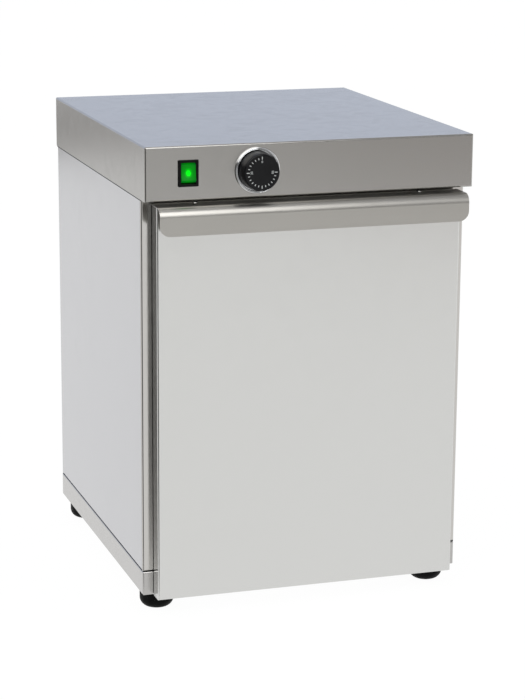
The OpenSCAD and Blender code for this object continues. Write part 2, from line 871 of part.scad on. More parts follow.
module bulb_clip() {
    x = capillary_down.x;
    y = bulb_y + 16;
    color(steel)
        for (k = [0, 1])
            translate([x, y + k * 40, bulb_z])
                difference() {
                    union() {
                        rod_y([0, 0, 0], bulb_d + 2.4, 8);
                        block([-8, 0, bulb_d / 2], [8, 8, bulb_d / 2 + 2]);
                    }
                    rod_y([0, -1, 0], bulb_d + 0.2, 10);
                    block([-20, -1, bulb_d / 2 + 2], [20, 9, bulb_d]);
                }
}

// The bright ring is a shallow cup behind the knob.
module knob_ring() {
    r = ring_d / 2;
    color(chrome)
        translate([knob_cx, fascia_y, fascia_z]) rotate([90, 0, 0])
            difference() {
                rotate_extrude()
                    difference() {
                        soft_rect([shaft_hole_d / 2, 0], [r, ring_h], [0, 0, 1.6, 0]);
                        translate([0, 1]) square([r - 2, ring_h]);
                    }
                for (s = [-1, 1])
                    translate([s * stat_screw_span / 2, 0, -1]) cylinder(d = stat_screw_d + 4, h = 3);
            }
}

// The knob: a tapered barrel with a soft edge round its flat dial, and a boss on the shaft.
module thermostat_knob() {
    base = ring_h / 2 + 0.6;
    top = knob_front;
    rb = knob_d / 2;
    rf = knob_face_d / 2;
    edge_r = 2;
    color(black)
        translate([knob_cx, fascia_y, fascia_z]) rotate([90, 0, 0])
            difference() {
                rotate_extrude()
                    difference() {
                        polygon([
                            [0, base + 2.5], [rf - 3, base + 2.5], [rb - 2.5, base], [rb - 0.4, base],
                            [rb, base + 0.4], [rb, base + 2], [rf, top - edge_r], [rf, top], [0, top]
                        ]);
                        translate([rf - edge_r, top - edge_r])
                            difference() {
                                square(edge_r + 1);
                                circle(edge_r);
                            }
                    }
                rotate_extrude()
                    polygon([[shaft_d / 2 + 3, base], [rf - 3, base], [rf - 4, top - 3],
                        [shaft_d / 2 + 3, top - 3]]);
                translate([0, 0, base - 1]) knob_bore(top - base - 4);
            }
}

// The bore fits the shaft's flat.
module knob_bore(l) {
    difference() {
        cylinder(d = shaft_d + 0.1, h = l + 1);
        translate([shaft_d / 2 - 1, -shaft_d, -1]) cube([shaft_d, 2 * shaft_d, l + 3]);
    }
}

module thermostat_shaft() {
    l_in = 12;
    l_out = knob_front - 4.2;
    color(steel)
        translate([knob_cx, fascia_y, fascia_z]) rotate([90, 0, 0])
            difference() {
                translate([0, 0, -sheet_t - l_in]) cylinder(d = shaft_d, h = l_in + sheet_t + l_out);
                translate([shaft_d / 2 - 1.05, -shaft_d, ring_h]) cube([shaft_d, 2 * shaft_d, l_out]);
            }
}

// The switch housing: bezel over the fascia, box behind it, and a well for the rocker.
module switch_housing() {
    w = switch_cut_w / 2;
    h = switch_cut_h / 2;
    b = bezel_lip;
    color(black)
        difference() {
            union() {
                folded_block([switch_cx - w - b, fascia_y - bezel_t, fascia_z - h - b],
                    [switch_cx + w + b, fascia_y, fascia_z + h + b],
                    [1, 1, 0, 0], [1.2, 1.2, 1.2, 1.2], [1, 0, 0, 1]);
                folded_block([switch_cx - w + fit, fascia_y - bezel_t / 2, fascia_z - h + fit],
                    [switch_cx + w - fit, fascia_y + switch_d, fascia_z + h - fit],
                    [0, 0, 0, 0], [1, 1, 1, 1]);
            }
            block([switch_cx - rocker_w / 2 - run, fascia_y - bezel_t - 1, fascia_z - rocker_h / 2 - 1],
                [switch_cx + rocker_w / 2 + run, fascia_y + switch_d - 2, fascia_z + rocker_h / 2 + 1]);
            rod_x([switch_cx - rocker_w / 2 - 1.5, fascia_y + rocker_pivot, fascia_z], 3.1,
                rocker_w + 3);
            for (z = [-8, 0, 8])
                block([switch_cx - 3.2, fascia_y + switch_d - 3, fascia_z + z - 0.5],
                    [switch_cx + 3.2, fascia_y + switch_d + 1, fascia_z + z + 0.5]);
        }
}

// The rocker: a lens with a hollow face, tilted to its on position, on two stub axles.
module switch_rocker() {
    color([0, 0.55, 0.1])
        translate([switch_cx, fascia_y + rocker_pivot, fascia_z])
            rotate([-rocker_angle / 2, 0, 0]) {
                difference() {
                    intersection() {
                        block([-rocker_w / 2, -rocker_pivot - 5, -rocker_h / 2],
                            [rocker_w / 2, 3.5, rocker_h / 2]);
                        translate([-rocker_w / 2, 0, 0]) rotate([0, 90, 0])
                            cylinder(r = rocker_h / 2 + 0.8, h = rocker_w, $fn = 96);
                    }
                    translate([-rocker_w, -rocker_pivot - 2 - rocker_r, 0]) rotate([0, 90, 0])
                        cylinder(r = rocker_r, h = 2 * rocker_w, $fn = 96);
                }
                rod_x([-rocker_w / 2 - 1.2, 0, 0], 3, rocker_w + 2.4);
            }
}

module terminal_block() {
    w = terminal_pitch;
    z0 = deck_z + sheet_t;
    color(ceramic)
        difference() {
            union() {
                block([terminal_x(-0.5), terminal_y, z0],
                    [terminal_x(terminal_poles - 0.5), terminal_y + terminal_d, z0 + 10]);
                for (k = [0:terminal_poles - 1])
                    block([terminal_x(k) - w / 2 + 1.5, terminal_y + 4, z0 + 9],
                        [terminal_x(k) + w / 2 - 1.5, terminal_y + terminal_d - 4, z0 + 16]);
            }
            for (k = [0:terminal_poles - 1], y = [7, terminal_d - 7])
                translate([terminal_x(k), terminal_y + y, z0 + 9]) cylinder(d = 4, h = 10);
        }
}

// Leads: block to switch, block to thermostat, and block down the back wall to the element's ends.
module wiring() {
    sy = fascia_y + switch_d;
    ty = fascia_y + sheet_t + stat_d;
    z = terminal_z;
    to_switch = [
        [terminal_x(0), terminal_y, z], [terminal_x(0), terminal_y - 34, z],
        [switch_cx, terminal_y - 34, z], [switch_cx, sy + 24, fascia_z], [switch_cx, sy, fascia_z]
    ];
    to_stat = [
        [terminal_x(1), terminal_y, z], [terminal_x(1), terminal_y - 50, z],
        [knob_cx - 8, terminal_y - 50, z], [knob_cx - 8, ty + 24, fascia_z + 6],
        [knob_cx - 8, ty, fascia_z + 6]
    ];
    color("#b8b8b4") {
        bar(soft_route(to_switch, 10), wire_lead_d, 8);
        bar(soft_route(to_stat, 10), wire_lead_d, 8);
        bar(soft_route(element_lead(1, 3, 24), 10), wire_lead_d, 8);
        bar(soft_route(element_lead(-1, 2, 40), 10), wire_lead_d, 8);
    }
}

// A lead from a pole of the block, down through the back wall, to one end of the element.
function element_lead(s, pole, back) =
    let(x = terminal_x(pole), down_x = s * lead_down_x, y1 = terminal_y + terminal_d)
    [
        [x, y1, terminal_z], [x, y1 + back, terminal_z], [down_x, y1 + back, terminal_z],
        [down_x, lead_down_y, terminal_z], [down_x, lead_down_y, element_z + 24],
        [s * element_end_x, element_end_y + 3, element_z + 24],
        [s * element_end_x, element_end_y + 3, element_z + 2]
    ];

// ---------- Cable entry ----------

// The gland: hexagon, rounded cap and thread through the base pan's back wall.
module cable_gland() {
    hex_l = 4;
    color(black)
        translate([gland_x, back_y, gland_z]) rotate([-90, 0, 0])
            difference() {
                union() {
                    cylinder(d = gland_af / cos(30), h = hex_l, $fn = 6);
                    rotate_extrude()
                        soft_rect([0, hex_l - eps], [gland_af / 2 - 1.2, gland_out], [0, 0, 3, 0]);
                    translate([0, 0, -10]) cylinder(d = gland_d, h = 10 + eps);
                }
                translate([0, 0, -11]) cylinder(d = cable_d, h = gland_out + 12);
            }
}

module gland_nut() {
    color(black)
        translate([gland_x, back_y - sheet_t, gland_z]) rotate([90, 0, 0])
            difference() {
                cylinder(d = gland_af / cos(30), h = 5, $fn = 6);
                translate([0, 0, -1]) cylinder(d = gland_d + 0.1, h = 7);
            }
}

// ---------- Feet ----------

module foot_places() {
    for (x = [-foot_px, foot_px], y = [foot_front_y, foot_back_y])
        translate([x, y, 0]) children();
}

// A foot is a rubber dome, flat below, with a well for its screw.
module foot(x, y) {
    r = foot_d / 2;
    color(black)
        translate([x, y, 0])
            difference() {
                rotate_extrude() soft_rect([0, 0], [r, foot_h], [0, foot_r, 0.8, 0]);
                translate([0, 0, -1]) cylinder(d = foot_bore_d, h = foot_h + 2);
                translate([0, 0, -1]) cylinder(d = foot_well_d, h = foot_well_h + 1);
            }
}

module foot_front_left() {
    foot(-foot_px, foot_front_y);
}

module foot_front_right() {
    foot(foot_px, foot_front_y);
}

module foot_rear_left() {
    foot(-foot_px, foot_back_y);
}

module foot_rear_right() {
    foot(foot_px, foot_back_y);
}

module foot_washers() {
    color(chrome)
        foot_places() translate([0, 0, foot_well_h - washer_t])
            difference() {
                cylinder(d = washer_d, h = washer_t);
                translate([0, 0, -1]) cylinder(d = foot_bore_d, h = washer_t + 2);
            }
}

module foot_screws() {
    top = base_z + sheet_t + nut_h + 2;
    z0 = foot_well_h - washer_t;
    color(chrome)
        foot_places()
            difference() {
                union() {
                    translate([0, 0, z0 - screw_head_h]) cylinder(d = screw_head_d, h = screw_head_h);
                    translate([0, 0, z0 - 1]) cylinder(d = foot_screw_d, h = top - z0 + 1);
                }
                translate([0, 0, z0 - screw_head_h - 1]) cylinder(d = screw_head_d * 0.5, h = 2.4, $fn = 6);
            }
}

module foot_nuts() {
    color(chrome)
        foot_places() translate([0, 0, base_z + sheet_t])
            difference() {
                cylinder(d = nut_af / cos(30), h = nut_h, $fn = 6);
                translate([0, 0, -1]) cylinder(d = foot_screw_d + 0.1, h = nut_h + 2);
            }
}

// ---------- Hinges ----------

// A hinge plate: a nose round the axis, a neck back through a slot, and a leg behind the sheet.
module hinge_plate(z) {
    leg_y = body_y + sheet_t;
    color(steel_dark)
        difference() {
            union() {
                translate([hinge_x, hinge_y, z]) cylinder(r = plate_nose_r, h = hinge_plate_t);
                block([hinge_x - plate_nose_r, hinge_y, z],
                    [hinge_x + plate_right, leg_y + hinge_plate_t, z + hinge_plate_t]);
                block([hinge_x + plate_right - plate_leg_w, leg_y, z + inner_r],
                    [hinge_x + plate_right, leg_y + hinge_plate_t, z + plate_leg_h]);
            }
            translate([hinge_x, hinge_y, z - 1]) cylinder(d = pin_d - 1 + 0.1, h = hinge_plate_t + 2);
        }
}

module upper_hinge_plate() {
    hinge_plate(upper_plate_z);
}

module lower_hinge_plate() {
    hinge_plate(lower_plate_z);
}

// The slot that a plate's neck passes through, in the sheet behind the door.
module hinge_slot(z) {
    block([hinge_x - plate_nose_r - fit, body_y - 1, z - fit],
        [hinge_x + plate_right + fit, body_y + sheet_t + 1, z + hinge_plate_t + fit]);
}

// A pin is riveted through its plate and stands in the bush.
module hinge_pin() {
    color(chrome) {
        cylinder(d = pin_d - 1, h = hinge_plate_t + eps);
        translate([0, 0, hinge_plate_t]) cylinder(d = pin_d, h = pin_l - 0.8 + eps);
        translate([0, 0, hinge_plate_t + pin_l - 0.8]) cylinder(d1 = pin_d, d2 = pin_d - 1.6, h = 0.8);
    }
}

module lower_hinge_pin() {
    translate([hinge_x, hinge_y, lower_plate_z]) hinge_pin();
}

module upper_hinge_pin() {
    translate([hinge_x, hinge_y, upper_plate_z + hinge_plate_t]) mirror([0, 0, 1]) hinge_pin();
}

// A bush is a nylon block in the door's corner, bored for the pin.
module hinge_bush(z) {
    color(ceramic)
        translate([hinge_x, hinge_y, z])
            difference() {
                linear_extrude(bush_h)
                    soft_rect([-bush_left, -hinge_front], [hinge_side, bush_back], [0, bend_r, 0, 0]);
                translate([0, 0, -1]) cylinder(d = pin_d + 2 * pin_clear, h = bush_h + 2);
            }
}

module lower_hinge_bush() {
    hinge_bush(lower_bush_z);
}

module upper_hinge_bush() {
    hinge_bush(upper_bush_z);
}

// The room that the two plates need in the door as it turns round them.
module hinge_rooms() {
    for (z = [lower_plate_z, upper_plate_z])
        translate([hinge_x, hinge_y, z])
            block([-plate_nose_r - 1, -hinge_front + eps, -run],
                [hinge_in + 1, hinge_back + 1, hinge_plate_t + run]);
}

// ---------- Door ----------

// The skin is a pan, open to the back, notched at the hinge edge for the plates.
module door_skin() {
    t = sheet_t;
    r = bend_r;
    color(steel_light)
        difference() {
            folded_block([-door_x, door_y, door_z0], [door_x, door_back_y, door_z1],
                [r, r, 0, 0], [0, 0, 0, 0], [r, 0, 0, r]);
            folded_block([-door_x + t, door_y + t, door_z0 + t],
                [door_x - t, door_back_y + 1, door_z1 - t], [inner_r, inner_r, 0, 0], [0, 0, 0, 0],
                [inner_r, 0, 0, inner_r]);
            hinge_rooms();
            handle_screw_places() translate([0, 0, door_z1 - 4]) cylinder(d = tiny_screw[0], h = 6);
        }
}

// The inner panel is a shallow tray that nests in the skin, flush with its back edges.
module door_inner_panel() {
    t = sheet_t;
    x = door_x - t - fit;
    z0 = door_z0 + t + fit;
    z1 = door_z1 - t - fit;
    color(steel)
        difference() {
            block([-x, door_back_y - inner_edge, z0], [x, door_back_y, z1]);
            block([-x + t, door_back_y - inner_edge - 1, z0 + t], [x - t, door_back_y - t, z1 - t]);
            hinge_rooms();
            inner_screw_places() rod_y([0, -2, 0], tiny_screw[0] + 0.2, 6);
            handle_screw_places()
                translate([0, 0, z1 - t - 1]) cylinder(d = tiny_screw[0] + 0.2, h = t + 2);
        }
}

// The corner of the door's filling that a hinge's plate and bush take up.
module door_corner(z0, z1) {
    block([hinge_x - bush_left - wool_gap, door_y, z0], [door_x, door_back_y, z1]);
}

module door_insulation() {
    t = sheet_t;
    x = door_x - 2 * t - fit - wool_gap;
    z0 = door_z0 + 2 * t + fit + wool_gap;
    z1 = door_z1 - 2 * t - fit - wool_gap;
    color(wool)
        difference() {
            block([-x, door_y + t + wool_gap, z0], [x, door_back_y - t - wool_gap, z1]);
            door_corner(z0 - 1, lower_bush_z + bush_h + wool_gap);
            door_corner(upper_bush_z - wool_gap, z1 + 1);
            handle_screw_places()
                translate([0, 0, handle_z1 - handle_screw_l - 2])
                    cylinder(d = tiny_screw[0] + 4, h = handle_screw_l + 2);
            inner_screw_places() rod_back([0, 0, 0], tiny_screw[0] + 4, panel_screw_l + 2);
        }
}

module door_gasket() {
    r = 8;
    w = gasket_w;
    color(silicone)
        translate([0, door_back_y + gasket_t, 0]) rotate([90, 0, 0])
            difference() {
                linear_extrude(gasket_t)
                    soft_rect([-gasket_x - w, gasket_z0], [gasket_x + w, gasket_z1],
                        [r, r, r, r]);
                translate([0, 0, -1]) linear_extrude(gasket_t + 2)
                    soft_rect([-gasket_x, gasket_z0 + w], [gasket_x, gasket_z1 - w],
                        [r / 2, r / 2, r / 2, r / 2]);
            }
}

// The handle caps the door, rolls over its front edge and hangs down as a flap with round corners.
module door_handle() {
    t = handle_t;
    y0 = door_y - handle_reach;
    r = nose_r;
    c = handle_corner_r;
    color(steel)
        difference() {
            intersection() {
                translate([-handle_x, 0, 0]) rotate([90, 0, 90]) linear_extrude(2 * handle_x)
                    difference() {
                        soft_rect([y0, handle_z0], [door_back_y - handle_back, handle_z1], [0, 0, 0, r]);
                        soft_rect([y0 + t, handle_z0 - 1], [door_back_y + 1, handle_z1 - t],
                            [0, 0, 0, r - t]);
                    }
                translate([0, door_back_y + 1, 0]) rotate([90, 0, 0])
                    linear_extrude(door_t + handle_reach + 2)
                        soft_rect([-handle_x, handle_z0], [handle_x, handle_z1 + 1], [c, c, 0, 0]);
            }
            handle_screw_places()
                translate([0, 0, handle_z1 - t - 1]) cylinder(d = tiny_screw[0] + 0.2, h = t + 2);
        }
}

module handle_screw_places() {
    for (x = [-handle_screw_span / 2, handle_screw_span / 2])
        translate([x, door_y + door_t * 0.6, 0]) children();
}

module handle_screws() {
    color(chrome)
        handle_screw_places() translate([0, 0, handle_z1]) pan_screw(tiny_screw, handle_screw_l);
}

// Screws round the edge of the inner panel, outside the gasket's line.
module inner_screw_places() {
    for (x = [-0.5, 0, 0.5])
        translate([x * door_x, door_back_y, (door_z0 + gasket_z0) / 2]) children();
}

module inner_panel_screws() {
    color(chrome)
        inner_screw_places() rotate([-90, 0, 0])
            pan_screw([tiny_screw[0], tiny_screw[1], door_gap - run - 0.4], panel_screw_l);
}

module strike_plate() {
    color(steel_dark)
        translate([magnet_x, door_back_y, magnet_z])
            block([-magnet_w / 2 + 1, 0, -magnet_h / 2 + 0.5],
                [magnet_w / 2 - 1, strike_t, magnet_h / 2 - 0.5]);
}

module door_magnet() {
    color(black)
        translate([magnet_x, body_y, magnet_z])
            union() {
                block([-magnet_w / 2, -magnet_out, -magnet_h / 2],
                    [magnet_w / 2, magnet_d, magnet_h / 2]);
                block([-magnet_w / 2 - 5, sheet_t, -magnet_h / 2],
                    [magnet_w / 2 + 5, sheet_t + 1.5, magnet_h / 2]);
            }
}

// ---------- Assembly ----------

top_cover();
left_side_panel();
right_side_panel();
back_panel();
front_frame();
base_pan();
control_deck();
liner();
insulation_left();
insulation_right();
insulation_back();
insulation_top();
insulation_base();
shelf_runner_left();
shelf_runner_right();
heating_element();
element_brackets();
element_cover();
thermostat_body();
thermostat_bulb();
capillary_tube();
bulb_clip();
knob_ring();
switch_housing();
terminal_block();
wiring();
cable_gland();
gland_nut();
foot_front_left();
foot_front_right();
foot_rear_left();
foot_rear_right();
foot_washers();
foot_screws();
foot_nuts();
upper_hinge_plate();
lower_hinge_plate();
upper_hinge_pin();
lower_hinge_pin();
door_magnet();
cover_screws();
back_screws();
thermostat_screws();
door_skin();
door_inner_panel();
door_insulation();
door_gasket();
door_handle();
handle_screws();
upper_hinge_bush();
lower_hinge_bush();
strike_plate();
inner_panel_screws();
thermostat_knob();
thermostat_shaft();
switch_rocker();
upper_shelf();
lower_shelf();
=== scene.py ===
"""Plate warmer cabinet: the looks round its CAD frame. Metres, +X right, -Y front, +Z up."""

import json
import math

import bmesh
import bpy
from mathutils import Matrix, Vector, noise


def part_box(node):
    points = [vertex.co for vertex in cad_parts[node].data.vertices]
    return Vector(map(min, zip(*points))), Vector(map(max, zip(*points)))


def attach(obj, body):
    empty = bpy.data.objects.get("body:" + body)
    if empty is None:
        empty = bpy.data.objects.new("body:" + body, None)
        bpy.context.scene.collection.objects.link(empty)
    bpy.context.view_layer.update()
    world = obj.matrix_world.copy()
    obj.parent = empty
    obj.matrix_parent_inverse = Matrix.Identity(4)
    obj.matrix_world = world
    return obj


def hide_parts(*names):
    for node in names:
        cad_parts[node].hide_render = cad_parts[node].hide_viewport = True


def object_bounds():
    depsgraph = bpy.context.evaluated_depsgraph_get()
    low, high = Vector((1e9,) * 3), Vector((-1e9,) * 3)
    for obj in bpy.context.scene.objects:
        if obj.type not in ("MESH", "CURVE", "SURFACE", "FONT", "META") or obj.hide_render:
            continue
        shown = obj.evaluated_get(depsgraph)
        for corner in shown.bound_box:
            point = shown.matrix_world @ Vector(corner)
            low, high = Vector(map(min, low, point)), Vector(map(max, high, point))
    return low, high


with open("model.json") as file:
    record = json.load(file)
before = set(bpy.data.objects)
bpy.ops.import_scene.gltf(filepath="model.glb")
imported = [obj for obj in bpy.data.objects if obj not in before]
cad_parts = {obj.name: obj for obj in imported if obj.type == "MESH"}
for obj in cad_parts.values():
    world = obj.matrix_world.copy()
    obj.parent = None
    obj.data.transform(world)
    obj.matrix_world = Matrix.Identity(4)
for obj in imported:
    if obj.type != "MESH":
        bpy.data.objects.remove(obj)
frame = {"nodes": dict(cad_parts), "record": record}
cad_low, cad_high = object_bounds()

MM = 0.001
RIGHT, BACKWARD, UPWARD = Vector((1, 0, 0)), Vector((0, 1, 0)), Vector((0, 0, 1))
FORWARD = Vector((0, -1, 0))
slot_of = {p["node"]: p["material_slot"] for p in frame["record"]["subparts"]}
body_of_node = {n: b for b, ns in frame["record"]["behaviour"]["bodies"].items() for n in ns}
pivot = {j["name"]: Vector(j["pos_m"]) for j in frame["record"]["behaviour"]["joints"] if "pos_m" in j}


# ---------- Node trees ----------

def new_group(name, inputs, outputs, tree_kind="ShaderNodeTree"):
    """An empty node group with named sockets. Inputs are (name, kind, value), outputs (name, kind)."""
    tree = bpy.data.node_groups.new(name, tree_kind)
    for label, kind, value in inputs:
        socket = tree.interface.new_socket(label, in_out="INPUT", socket_type="NodeSocket" + kind)
        if value is not None:
            socket.default_value = value
    for label, kind in outputs:
        tree.interface.new_socket(label, in_out="OUTPUT", socket_type="NodeSocket" + kind)
    return tree, tree.nodes.new("NodeGroupInput").outputs, tree.nodes.new("NodeGroupOutput")


def fill(tree, node, values):
    """Sets a node's inputs by name or number, or links them where the value is a socket."""
    for key, value in values.items():
        if isinstance(value, bpy.types.NodeSocket):
            tree.links.new(value, node.inputs[key])
        else:
            node.inputs[key].default_value = value


def put(tree, kind, values=None, **settings):
    """A new node with its settings and its inputs."""
    node = tree.nodes.new(kind)
    for key, value in settings.items():
        setattr(node, key, value)
    fill(tree, node, values or {})
    return node


def maths(tree, operation, a, b=0.5):
    """A sum of two numbers. Some operations use the first alone."""
    return put(tree, "ShaderNodeMath", {0: a, 1: b}, operation=operation).outputs[0]


def weighed(tree, a, b, share):
    """Two values added up, the first by its share and the second by the rest."""
    return maths(tree, "ADD", maths(tree, "MULTIPLY", a, share), maths(tree, "MULTIPLY", b, 1 - share))


def blend(tree, factor, a, b, kind="RGBA"):
    """Mix two colours (or two numbers) by a factor."""
    first = {"RGBA": 6, "FLOAT": 2}[kind]
    node = put(tree, "ShaderNodeMix", {0: factor, first: a, first + 1: b}, data_type=kind)
    return node.outputs[{"RGBA": 2, "FLOAT": 0}[kind]]


def spread(tree, value, low, high):
    """Stretch a value so that low becomes 0 and high becomes 1."""
    return put(tree, "ShaderNodeMapRange", {0: value, 1: low, 2: high}).outputs[0]


def noise_at(tree, place, scale, detail=2.0, **more):
    """The value of a noise texture at a place."""
    values = {"Vector": place, "Scale": scale, "Detail": detail, **more}
    return put(tree, "ShaderNodeTexNoise", values).outputs[0]


def xyz(tree, **parts):
    """A vector from its x, y and z. A part that isn't given is 0."""
    return put(tree, "ShaderNodeCombineXYZ", {"xyz".index(k): v for k, v in parts.items()}).outputs[0]


# ---------- Shader groups ----------

def sheet_grain_group():
    """Brushed sheet: long fine strokes, soft clouds of brightness and a few wiped marks."""
    tree, g, o = new_group(
        "sheet_grain",
        [("Position", "Vector", None), ("Stroke", "Vector", (1, 1, 1)), ("Fineness", "Float", 900.0),
         ("Cloud Scale", "Float", 5.0), ("Light", "Color", (0.6, 0.6, 0.6, 1)),
         ("Dark", "Color", (0.5, 0.5, 0.5, 1)), ("Grain", "Float", 0.5),
         ("Smooth", "Float", 0.25), ("Rough", "Float", 0.4)],
        [("Color", "Color"), ("Roughness", "Float"), ("Height", "Float")])
    stretched = put(tree, "ShaderNodeVectorMath", {0: g["Position"], 1: g["Stroke"]},
                    operation="MULTIPLY").outputs[0]
    fine = noise_at(tree, stretched, g["Fineness"], 4.0, Roughness=0.65)
    medium = noise_at(tree, stretched, maths(tree, "MULTIPLY", g["Fineness"], 0.22))
    cloud = spread(tree, noise_at(tree, g["Position"], g["Cloud Scale"]), 0.3, 0.7)
    wiped = spread(tree, noise_at(tree, g["Position"], 38.0, 3.0, Distortion=1.4), 0.45, 0.7)
    strokes = spread(tree, weighed(tree, fine, medium, 0.65), 0.32, 0.68)
    tone = blend(tree, g["Grain"], cloud, strokes, "FLOAT")
    fill(tree, o, {
        "Color": blend(tree, tone, g["Dark"], g["Light"]),
        "Roughness": blend(tree, weighed(tree, strokes, wiped, 0.6), g["Smooth"], g["Rough"], "FLOAT"),
        "Height": strokes})
    return tree


def moulded_group():
    """Moulded plastic, nylon, ceramic or rubber: fine pits, slow shade changes and rubbed patches."""
    tree, g, o = new_group(
        "moulded_skin",
        [("Position", "Vector", None), ("Pit Scale", "Float", 1400.0),
         ("Light", "Color", (0.05, 0.05, 0.05, 1)), ("Dark", "Color", (0.02, 0.02, 0.02, 1)),
         ("Smooth", "Float", 0.35), ("Rough", "Float", 0.6)],
        [("Color", "Color"), ("Roughness", "Float"), ("Height", "Float")])
    pits = put(tree, "ShaderNodeTexVoronoi", {"Vector": g["Position"], "Scale": g["Pit Scale"]}).outputs[0]
    slow = spread(tree, noise_at(tree, g["Position"], 60.0, 4.0), 0.3, 0.7)
    rubbed = spread(tree, noise_at(tree, g["Position"], 190.0, 5.0, Distortion=0.6), 0.35, 0.65)
    fill(tree, o, {"Color": blend(tree, slow, g["Dark"], g["Light"]),
                   "Roughness": blend(tree, rubbed, g["Smooth"], g["Rough"], "FLOAT"), "Height": pits})
    return tree


def fibre_group():
    """Matted or woven fibre: crossing threads at two scales with darker gaps."""
    tree, g, o = new_group(
        "fibre_mat",
        [("Position", "Vector", None), ("Thread Scale", "Float", 700.0),
         ("Light", "Color", (0.7, 0.62, 0.4, 1)), ("Dark", "Color", (0.4, 0.34, 0.2, 1))],
        [("Color", "Color"), ("Height", "Float")])
    tangle = noise_at(tree, g["Position"], g["Thread Scale"], 6.0, Roughness=0.7, Distortion=2.2)
    tufts = noise_at(tree, g["Position"], 45.0, 3.0, Distortion=1.0)
    threads = spread(tree, weighed(tree, tangle, tufts, 0.6), 0.36, 0.64)
    fill(tree, o, {"Color": blend(tree, threads, g["Dark"], g["Light"]), "Height": threads})
    return tree


SHEET_GRAIN = sheet_grain_group()
MOULDED = moulded_group()
FIBRE = fibre_group()


# ---------- Materials ----------

def new_material(name, **constants):
    """A material with its Principled shader, position vector and constants on the shader's own sockets."""
    m = bpy.data.materials.new(name)
    m.use_nodes = True
    tree = m.node_tree
    shader = tree.nodes["Principled BSDF"]
    for label, value in constants.items():
        shader.inputs[label.replace("_", " ")].default_value = value
    return m, tree, shader, tree.nodes.new("ShaderNodeTexCoord").outputs["Object"]


def dress(tree, shader, group, values, strength, distance, rough=True):
    """Lays a group's colour and relief on the shader, and its roughness where it is asked for."""
    g = put(tree, "ShaderNodeGroup", values, node_tree=group).outputs
    relief = put(tree, "ShaderNodeBump", {"Height": g["Height"], "Strength": strength, "Distance": distance})
    fill(tree, shader, {"Base Color": g["Color"], "Normal": relief.outputs[0]})
    if rough:
        tree.links.new(g["Roughness"], shader.inputs["Roughness"])


def light_and_dark(colour, contrast):
    """The two shades of a colour that a group runs between."""
    return {"Light": (*[c * (1 + contrast) for c in colour], 1.0),
            "Dark": (*[c * (1 - contrast) for c in colour], 1.0)}


def sheet_steel(name, colour, stroke, smooth, rough, contrast=0.1, grain=0.6, fineness=900.0, cloud=5.0,
                bump_strength=0.05):
    """Brushed sheet. The stroke vector squeezes the noise along the brushing direction."""
    m, tree, shader, position = new_material(name, Metallic=1.0)
    values = {"Position": position, "Stroke": stroke, "Fineness": fineness, "Cloud Scale": cloud,
              "Grain": grain, "Smooth": smooth, "Rough": rough, **light_and_dark(colour, contrast)}
    dress(tree, shader, SHEET_GRAIN, values, bump_strength, 0.2 * MM)
    return m


def moulded(name, colour, smooth, rough, contrast=0.25, pits=1400.0, bump_strength=0.1, **constants):
    """Plastic, ceramic, rubber or print with fine pits."""
    m, tree, shader, position = new_material(name, **constants)
    values = {"Position": position, "Pit Scale": pits, "Smooth": smooth, "Rough": rough,
              **light_and_dark(colour, contrast)}
    dress(tree, shader, MOULDED, values, bump_strength, 0.1 * MM)
    return m


def fibre(name, colour, threads, contrast=0.3, bump_strength=0.6):
    """Matted wool or a woven sleeve."""
    m, tree, shader, position = new_material(name, Roughness=0.92, Sheen_Weight=0.25)
    values = {"Position": position, "Thread Scale": threads, **light_and_dark(colour, contrast)}
    dress(tree, shader, FIBRE, values, bump_strength, 1.5 * MM, rough=False)
    return m


def green_lens(name):
    """Clear green moulding lit by a lamp behind it: a hot core, and cooler green towards its rim."""
    m, tree, shader, position = new_material(name, Roughness=0.3, Specular_IOR_Level=0.08,
                                             Emission_Strength=0.85)
    low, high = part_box("switch_rocker")
    middle = (low + high) / 2
    lamp = Vector((middle.x - 0.3 * MM, low.y, middle.z + 0.5 * MM))
    mapped = put(tree, "ShaderNodeMapping", {"Vector": position, "Location": tuple(-lamp)})
    flat = put(tree, "ShaderNodeVectorMath", {0: mapped.outputs[0], 1: (1.0, 0.0, 0.85)},
               operation="MULTIPLY")
    distance = put(tree, "ShaderNodeVectorMath", {0: flat.outputs[0]}, operation="LENGTH").outputs["Value"]
    speckle = maths(tree, "SUBTRACT", noise_at(tree, position, 420.0))
    wobble = maths(tree, "ADD", distance, maths(tree, "MULTIPLY", speckle, 1.6 * MM))
    ramp = put(tree, "ShaderNodeValToRGB", {0: spread(tree, wobble, 0.0, 13 * MM)})
    stops = [(0.0, (0.0, 1.7, 0.004)), (0.14, (0.0, 1.35, 0.002)), (0.27, (0.0, 0.54, 0.0)),
             (0.4, (0.0, 0.29, 0.0)), (0.66, (0.0, 0.23, 0.0)), (1.0, (0.0, 0.09, 0.008))]
    elements = ramp.color_ramp.elements
    for element, (place, colour) in zip(elements, (stops[0], stops[-1])):
        element.position, element.color = place, (*colour, 1)
    for place, colour in stops[1:-1]:
        elements.new(place).color = (*colour, 1)
    tree.links.new(ramp.outputs[0], shader.inputs["Emission Color"])
    values = {"Position": position, "Pit Scale": 500.0, "Light": (0.0, 0.06, 0.012, 1),
              "Dark": (0.0, 0.035, 0.008, 1)}
    dress(tree, shader, MOULDED, values, 0.05, 0.2 * MM, rough=False)
    return m


UP = (1.0, 1.0, 0.012)       # strokes that run up and down
ACROSS = (0.012, 1.0, 1.0)   # strokes that run from side to side
BACK = (1.0, 0.012, 1.0)     # strokes that run from front to back
EVEN = (1.0, 1.0, 1.0)       # no strokes, the same in all directions

